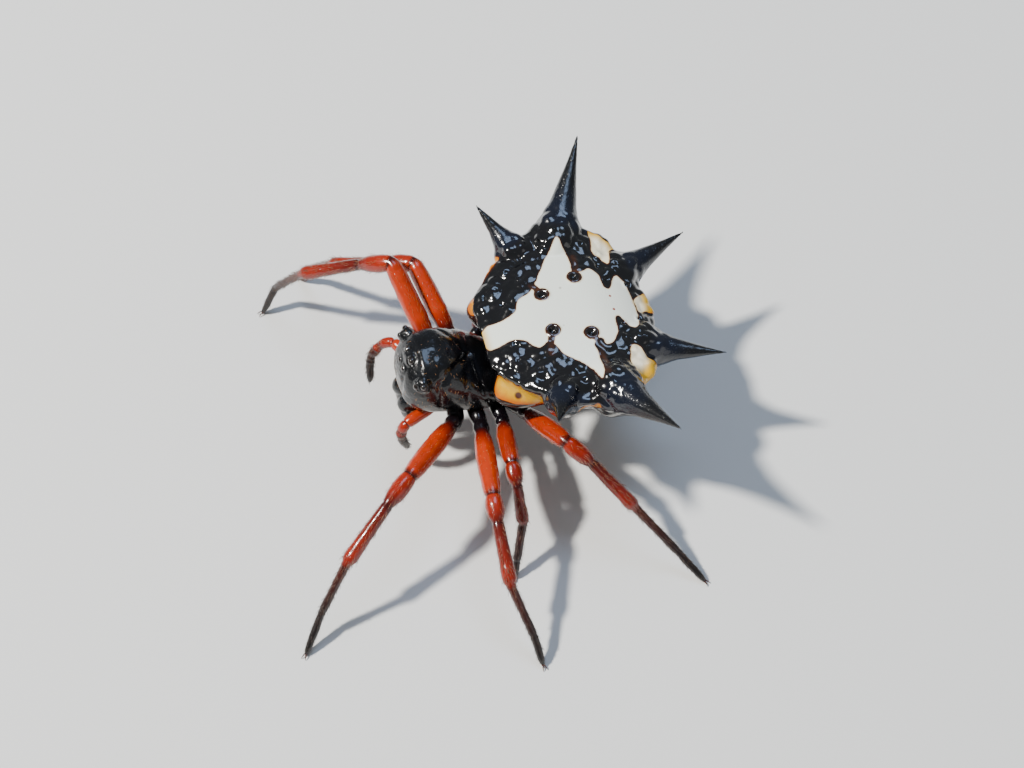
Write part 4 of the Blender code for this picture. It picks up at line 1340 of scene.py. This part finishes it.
# %% [markdown]
# ## Claws
#
# Each foot of a leg ends in two combed claws with a small hook between them. A palp ends in one claw, which
# isn't built here. The claws are horn, darker and harder than the skin round them, so they are pieces of
# their own. On this floor the tips of the claws carry her.

# %% Claws
CLAW_SPREAD, CLAW_LENGTH, CLAW_WIDTH = 0.07, 0.26, 0.060


def claw_form(base, ahead, beside, length, width):
    """A hook that reaches forward and bends down to the floor."""
    down = np.array((0.0, 0.0, -1.0))
    drop = max(base[2] - 0.012, 0.03)
    bends = ((0.0, 0.0, 0.0), (0.45, 0.25, 0.0), (0.85, 0.60, 0.45), (1.0, 1.0, 1.0))
    path = [base + ahead * length * x + beside * y + down * drop * z for x, y, z in bends]
    return stem_form(np.array(path), np.array((1.0, 0.8, 0.5, 0.12)) * width, 10, 5)


def joined(forms):
    """Several closed forms as one list of points and faces."""
    points, faces, offset = [], [], 0
    for form_points, form_faces in forms:
        points.append(form_points)
        faces += [[index + offset for index in face] for face in form_faces]
        offset += len(form_points)
    return np.vstack(points), faces


for leg_name, joints in LEGS.items():
    ankle, foot = np.array(joints[-2]), np.array(joints[-1])
    ahead = foot - ankle
    ahead[2] = 0
    ahead /= np.linalg.norm(ahead)
    beside = np.cross(ahead, (0, 0, 1))
    base = foot + (ankle - foot) * 0.03
    forms = [claw_form(base, ahead, beside * 0, CLAW_LENGTH * 0.5, CLAW_WIDTH * 0.8)]
    for side in SIDES.values():
        start = base + beside * 0.03 * side
        forms.append(claw_form(start, ahead, beside * CLAW_SPREAD * side, CLAW_LENGTH, CLAW_WIDTH))
    make_piece("claws_" + leg_name, *joined(forms), fang_paint, "dark_cuticle")
print("claws", 3 * len(LEGS))

# %% [markdown]
# ## Spinnerets
#
# Under the belly a stout collar holds three pairs of spinnerets, the front and rear pairs large and folded
# together over the small middle one. They are short two-jointed cones. In life their tips are pale and
# sieve-like; here they keep the black finish of the head.

# %% Spinnerets
COLLAR_PATH = ((0.0, 3.93, 3.25), (0.0, 3.95, 2.90), (0.0, 3.98, 2.60), (0.0, 4.00, 2.36))
COLLAR_WIDTHS = (1.20, 1.12, 1.04, 0.84)
SPINNERET_VOXEL = 0.034
SPINNERET_ROWS = (
    ((0.24, 3.80, 2.45), (0.05, -0.06, -0.52), 0.34), ((0.15, 4.00, 2.45), (0.0, 0.0, -0.42), 0.22),
    ((0.24, 4.20, 2.45), (0.05, 0.06, -0.52), 0.32),
)
forms = [stem_form(COLLAR_PATH, COLLAR_WIDTHS, 28)]
for root, reach, width in SPINNERET_ROWS:
    for side in SIDES.values():
        start, run = on_side(root, side), on_side(reach, side)
        path = [start, start + run * 0.45, start + run * 0.55, start + run * 0.85, start + run]
        forms.append(stem_form(np.array(path), np.array((1.0, 0.98, 0.82, 0.66, 0.30)) * width, 14, 4))
spinnerets, spinneret_squares = melt(forms, SPINNERET_VOXEL, 4)
wander = 2.0 * waves(spinnerets, 0.5, 12.0)
ridges = np.cos(spinnerets[:, 2] * math.tau / 0.20 + wander) * soft_step(spinnerets[:, 2], 2.40, 2.55)
lift = 0.007 * ridges + 0.010 * waves(spinnerets, 0.14, 14.0)
spinnerets = spinnerets + normals_of(spinnerets, spinneret_squares) * lift[:, None]
make_piece("spinnerets", spinnerets, spinneret_squares, head_paint, "dark_cuticle", ["spinnerets"])
print("spinneret points", len(spinnerets))

# %% [markdown]
# ## Hairs
#
# She looks bare, but close up every leg is bristly: short pale hairs stand along the thighs and catch the
# light at their edges, and dark ones cover the shins and feet more thickly. Each hair is a thin curved spike
# of three sides, leaning towards the foot. All hairs of one limb are one mesh. For the export each hair
# also has a tiny patch of its own in a flat map, at the place of its root on the unrolled limb, so that its
# colour can be baked from there.

# %% Spikes
HAIR_STEPS = np.array((0.0, 0.38, 0.74, 1.0))
HAIR_TAPER = np.array((1.0, 0.85, 0.50))
# How far a hair bends down and forward towards its tip, and how deep its root is sunk
HAIR_DROOP, HAIR_SWEEP, HAIR_SINK = 0.28, 0.22, 0.012
PATCH = 0.003


def hair_form(roots, outward, lie, lengths, widths, lean, places):
    """Points, faces and map places of many spikes that stand on a skin and lean along it."""
    beside = unit(np.cross(lie, outward))
    count = len(roots)
    points = np.zeros((count, 10, 3))
    uv = np.zeros((count, 10, 2))
    for step, share in enumerate(HAIR_STEPS):
        rise = (math.cos(lean) * share - HAIR_DROOP * share ** 2) * lengths
        reach = (math.sin(lean) * share + HAIR_SWEEP * share ** 2) * lengths
        middle = roots + outward * (rise - HAIR_SINK)[:, None] + lie * reach[:, None]
        for k in range(3 if step < 3 else 1):
            turn = math.tau * k / 3
            across = (beside * math.cos(turn) + lie * math.sin(turn)) * (widths / 2)[:, None]
            points[:, step * 3 + k] = middle + across * (HAIR_TAPER[step] if step < 3 else 0.0)
            uv[:, step * 3 + k] = places + ((k / 2 - 0.5) * PATCH, (share - 0.5) * PATCH)
    around = [(k, (k + 1) % 3) for k in range(3)]
    pattern = [(low + a, low + b, low + 3 + b, low + 3 + a) for low in (0, 3) for a, b in around]
    pattern += [(6 + a, 6 + b, 9) for a, b in around]
    faces = [[index + 10 * hair for index in face] for hair in range(count) for face in pattern]
    return points.reshape(-1, 3), faces, uv.reshape(-1, 2)


def laid_on(lie, away):
    """Unit rows that keep their bearing but lie flat on a skin with the given normals."""
    return unit(lie - away * (lie * away).sum(1)[:, None])


def map_hairs(piece, uv):
    """Writes the flat map that the export bakes colours from."""
    corners = np.empty(len(piece.data.loops), np.int32)
    piece.data.loops.foreach_get("vertex_index", corners)
    layer = piece.data.uv_layers.new(name="OFBake")
    layer.uv.foreach_set("vector", uv[corners].astype(np.float32).ravel())


# %% Hair finish
hair_paint = Finish("hair")
hair_station = hair_paint.mark("station") / 6
hair_paint.lay(
    base_color=hair_paint.ramp(hair_station, [
        (0.0, (0.30, 0.24, 0.16)), (0.22, (0.46, 0.22, 0.08)), (0.42, (0.34, 0.13, 0.05)),
        (0.62, (0.20, 0.08, 0.04)), (0.75, (0.07, 0.035, 0.022)), (1.0, (0.030, 0.020, 0.016)),
    ]),
    roughness=0.42,
)

# %% Hairs on the limbs
HAIRS_PER_MM2 = ((0.0, 6), (1.2, 22), (2.0, 28), (3.0, 42), (4.0, 75), (5.0, 110), (6.0, 140))
HAIR_LENGTHS = ((0.0, 0.16), (1.3, 0.19), (2.0, 0.22), (3.5, 0.24), (4.5, 0.22), (5.5, 0.17), (6.0, 0.10))
HAIR_WIDTHS = ((0.0, 0.013), (2.0, 0.014), (3.0, 0.016), (4.2, 0.019), (6.0, 0.017))
HAIR_LEAN = math.radians(48)
# Hips and what lies inside the head carry none
BARE_BELOW = 1.16
draw = np.random.default_rng(7)
hair_total = 0
for limb_name, (rings, outward, stations) in limbs.items():
    rows, sides = rings.shape[:2]
    length = np.linalg.norm(np.diff(rings.mean(1), axis=0), axis=1)
    girth = np.linalg.norm(rings[:-1, 0] - rings[:-1, sides // 2], axis=1) * math.pi
    wanted = read_off(HAIRS_PER_MM2, stations[:-1]) * length * girth * (stations[:-1] > BARE_BELOW)
    row = np.repeat(np.arange(rows - 1), draw.poisson(wanted))
    side = draw.integers(0, sides, len(row))
    t, s = draw.random(len(row))[:, None], draw.random(len(row))[:, None]
    beyond = (side + 1) % sides
    roots = (rings[row, side] * (1 - s) + rings[row, beyond] * s) * (1 - t)
    roots += (rings[row + 1, side] * (1 - s) + rings[row + 1, beyond] * s) * t
    away = unit(outward[row, side] * (1 - s) + outward[row, beyond] * s)
    lie = unit(rings[row + 1, side] - rings[row, side])
    lie = laid_on(lie + draw.normal(0, 0.18, lie.shape), away)
    station = stations[row]
    size = read_off(HAIR_LENGTHS, station) * draw.uniform(0.6, 1.25, len(row))
    keep = roots[:, 2] + np.minimum(away[:, 2] * size, 0) * 0.8 > 0.03
    places = np.column_stack([(side + s[:, 0]) / sides, (row + t[:, 0]) / rows])
    thick = read_off(HAIR_WIDTHS, station)
    points, faces, uv = hair_form(
        roots[keep], away[keep], lie[keep], size[keep], thick[keep], HAIR_LEAN, places[keep]
    )
    points[:, 2] = np.maximum(points[:, 2], 0.004)
    marks = {"station": np.repeat(station[keep], 10)}
    coat = make_piece("hairs_" + limb_name, points, faces, hair_paint, "dark_cuticle", (), marks)
    map_hairs(coat, uv)
    hair_total += int(keep.sum())
print("hairs", hair_total)

# %% [markdown]
# The hard shells have only a few hairs: short pale ones on the head, a fringe on the jaws where they meet
# the fangs, a sparse down on the belly, and a brush on the spinnerets. Their roots are drawn over the
# squares of each net, by area and by how hairy the place is. For the flat map each shell is unrolled by the
# angle round one of its axes and the place along it.

# %% Hairs on the shells
def scattered(points, squares, hairiness, per_mm2):
    """Roots on a net of squares, with the normal at each."""
    a, b, c, d = (points[squares[:, k]] for k in range(4))
    area = np.linalg.norm(np.cross(c - a, d - b), axis=1) / 2
    square = np.repeat(np.arange(len(squares)), draw.poisson(area * per_mm2 * hairiness[squares[:, 0]]))
    u, v = draw.random((2, len(square), 1))
    roots = (a[square] * (1 - u) + b[square] * u) * (1 - v) + (d[square] * (1 - u) + c[square] * u) * v
    return roots, normals_of(points, squares)[squares[square, 0]]


def shell_hairs(name, net, hairiness, per_mm2, size, toward, axis, station):
    """A coat of single hairs of one length and width that lean one way, mapped round an axis."""
    points, squares = net
    roots, away = scattered(points, squares, hairiness, per_mm2)
    lie = laid_on(np.asarray(toward) + draw.normal(0, 0.35, roots.shape), away)
    middle = points.mean(0)
    first, second = [k for k in range(3) if k != axis]
    angle = np.arctan2(roots[:, second] - middle[second], roots[:, first] - middle[first])
    along = (roots[:, axis] - points[:, axis].min()) / np.ptp(points[:, axis])
    places = np.column_stack([angle / math.tau + 0.5, along])
    lengths = size[0] * draw.uniform(0.6, 1.3, len(roots))
    widths = np.full(len(roots), size[1])
    hairs, faces, uv = hair_form(roots, away, lie, lengths, widths, HAIR_LEAN, places)
    marks = {"station": np.full(len(hairs), station)}
    map_hairs(make_piece(name, hairs, faces, hair_paint, "dark_cuticle", (), marks), uv)
    return len(roots)

# %% Coats of the shells
ALONG_Y, ALONG_Z = 1, 2
off_eyes = [away_from(head_folded, spot) - width for spot, width in EYES.values()]
head_hairy = soft_step(np.min(off_eyes, axis=0), 0.0, 0.1) * soft_step(-head[:, 1], -0.2, 1.6)
head_hairy *= 0.5 + 1.5 * soft_step(-head[:, 1], 3.0, 3.4) * soft_step(4.6 - head[:, 2], 0.0, 0.9)
belly_hairy = under * (shell[:, 2] < 4.9)
tip_hairy = soft_step(2.6 - spinnerets[:, 2], 0.0, 0.4)
counts = [
    shell_hairs(
        "hairs_head", (head, head_squares), head_hairy, 14.0, (0.14, 0.011), (0.0, -0.4, -1.0), ALONG_Y, 1.4
    ),
    shell_hairs(
        "hairs_shell", (shell, shell_squares), belly_hairy, 8.0, (0.16, 0.012), (0.0, 0.3, -1.0), ALONG_Z, 3.0
    ),
    shell_hairs(
        "hairs_spinnerets", (spinnerets, spinneret_squares), tip_hairy, 70.0, (0.13, 0.012),
        (0.0, 0.0, -1.0), ALONG_Z, 5.0,
    ),
]
for side_name, jaw_net in jaws.items():
    fringe = 0.15 + 0.85 * soft_step(2.75 - jaw_net[0][:, 2], 0.0, 0.3)
    counts.append(shell_hairs(
        "hairs_jaw_" + side_name, jaw_net, fringe, 60.0, (0.17, 0.013), (0.0, -0.3, -1.0), ALONG_Z, 4.2
    ))
print("hairs on the shells", counts)
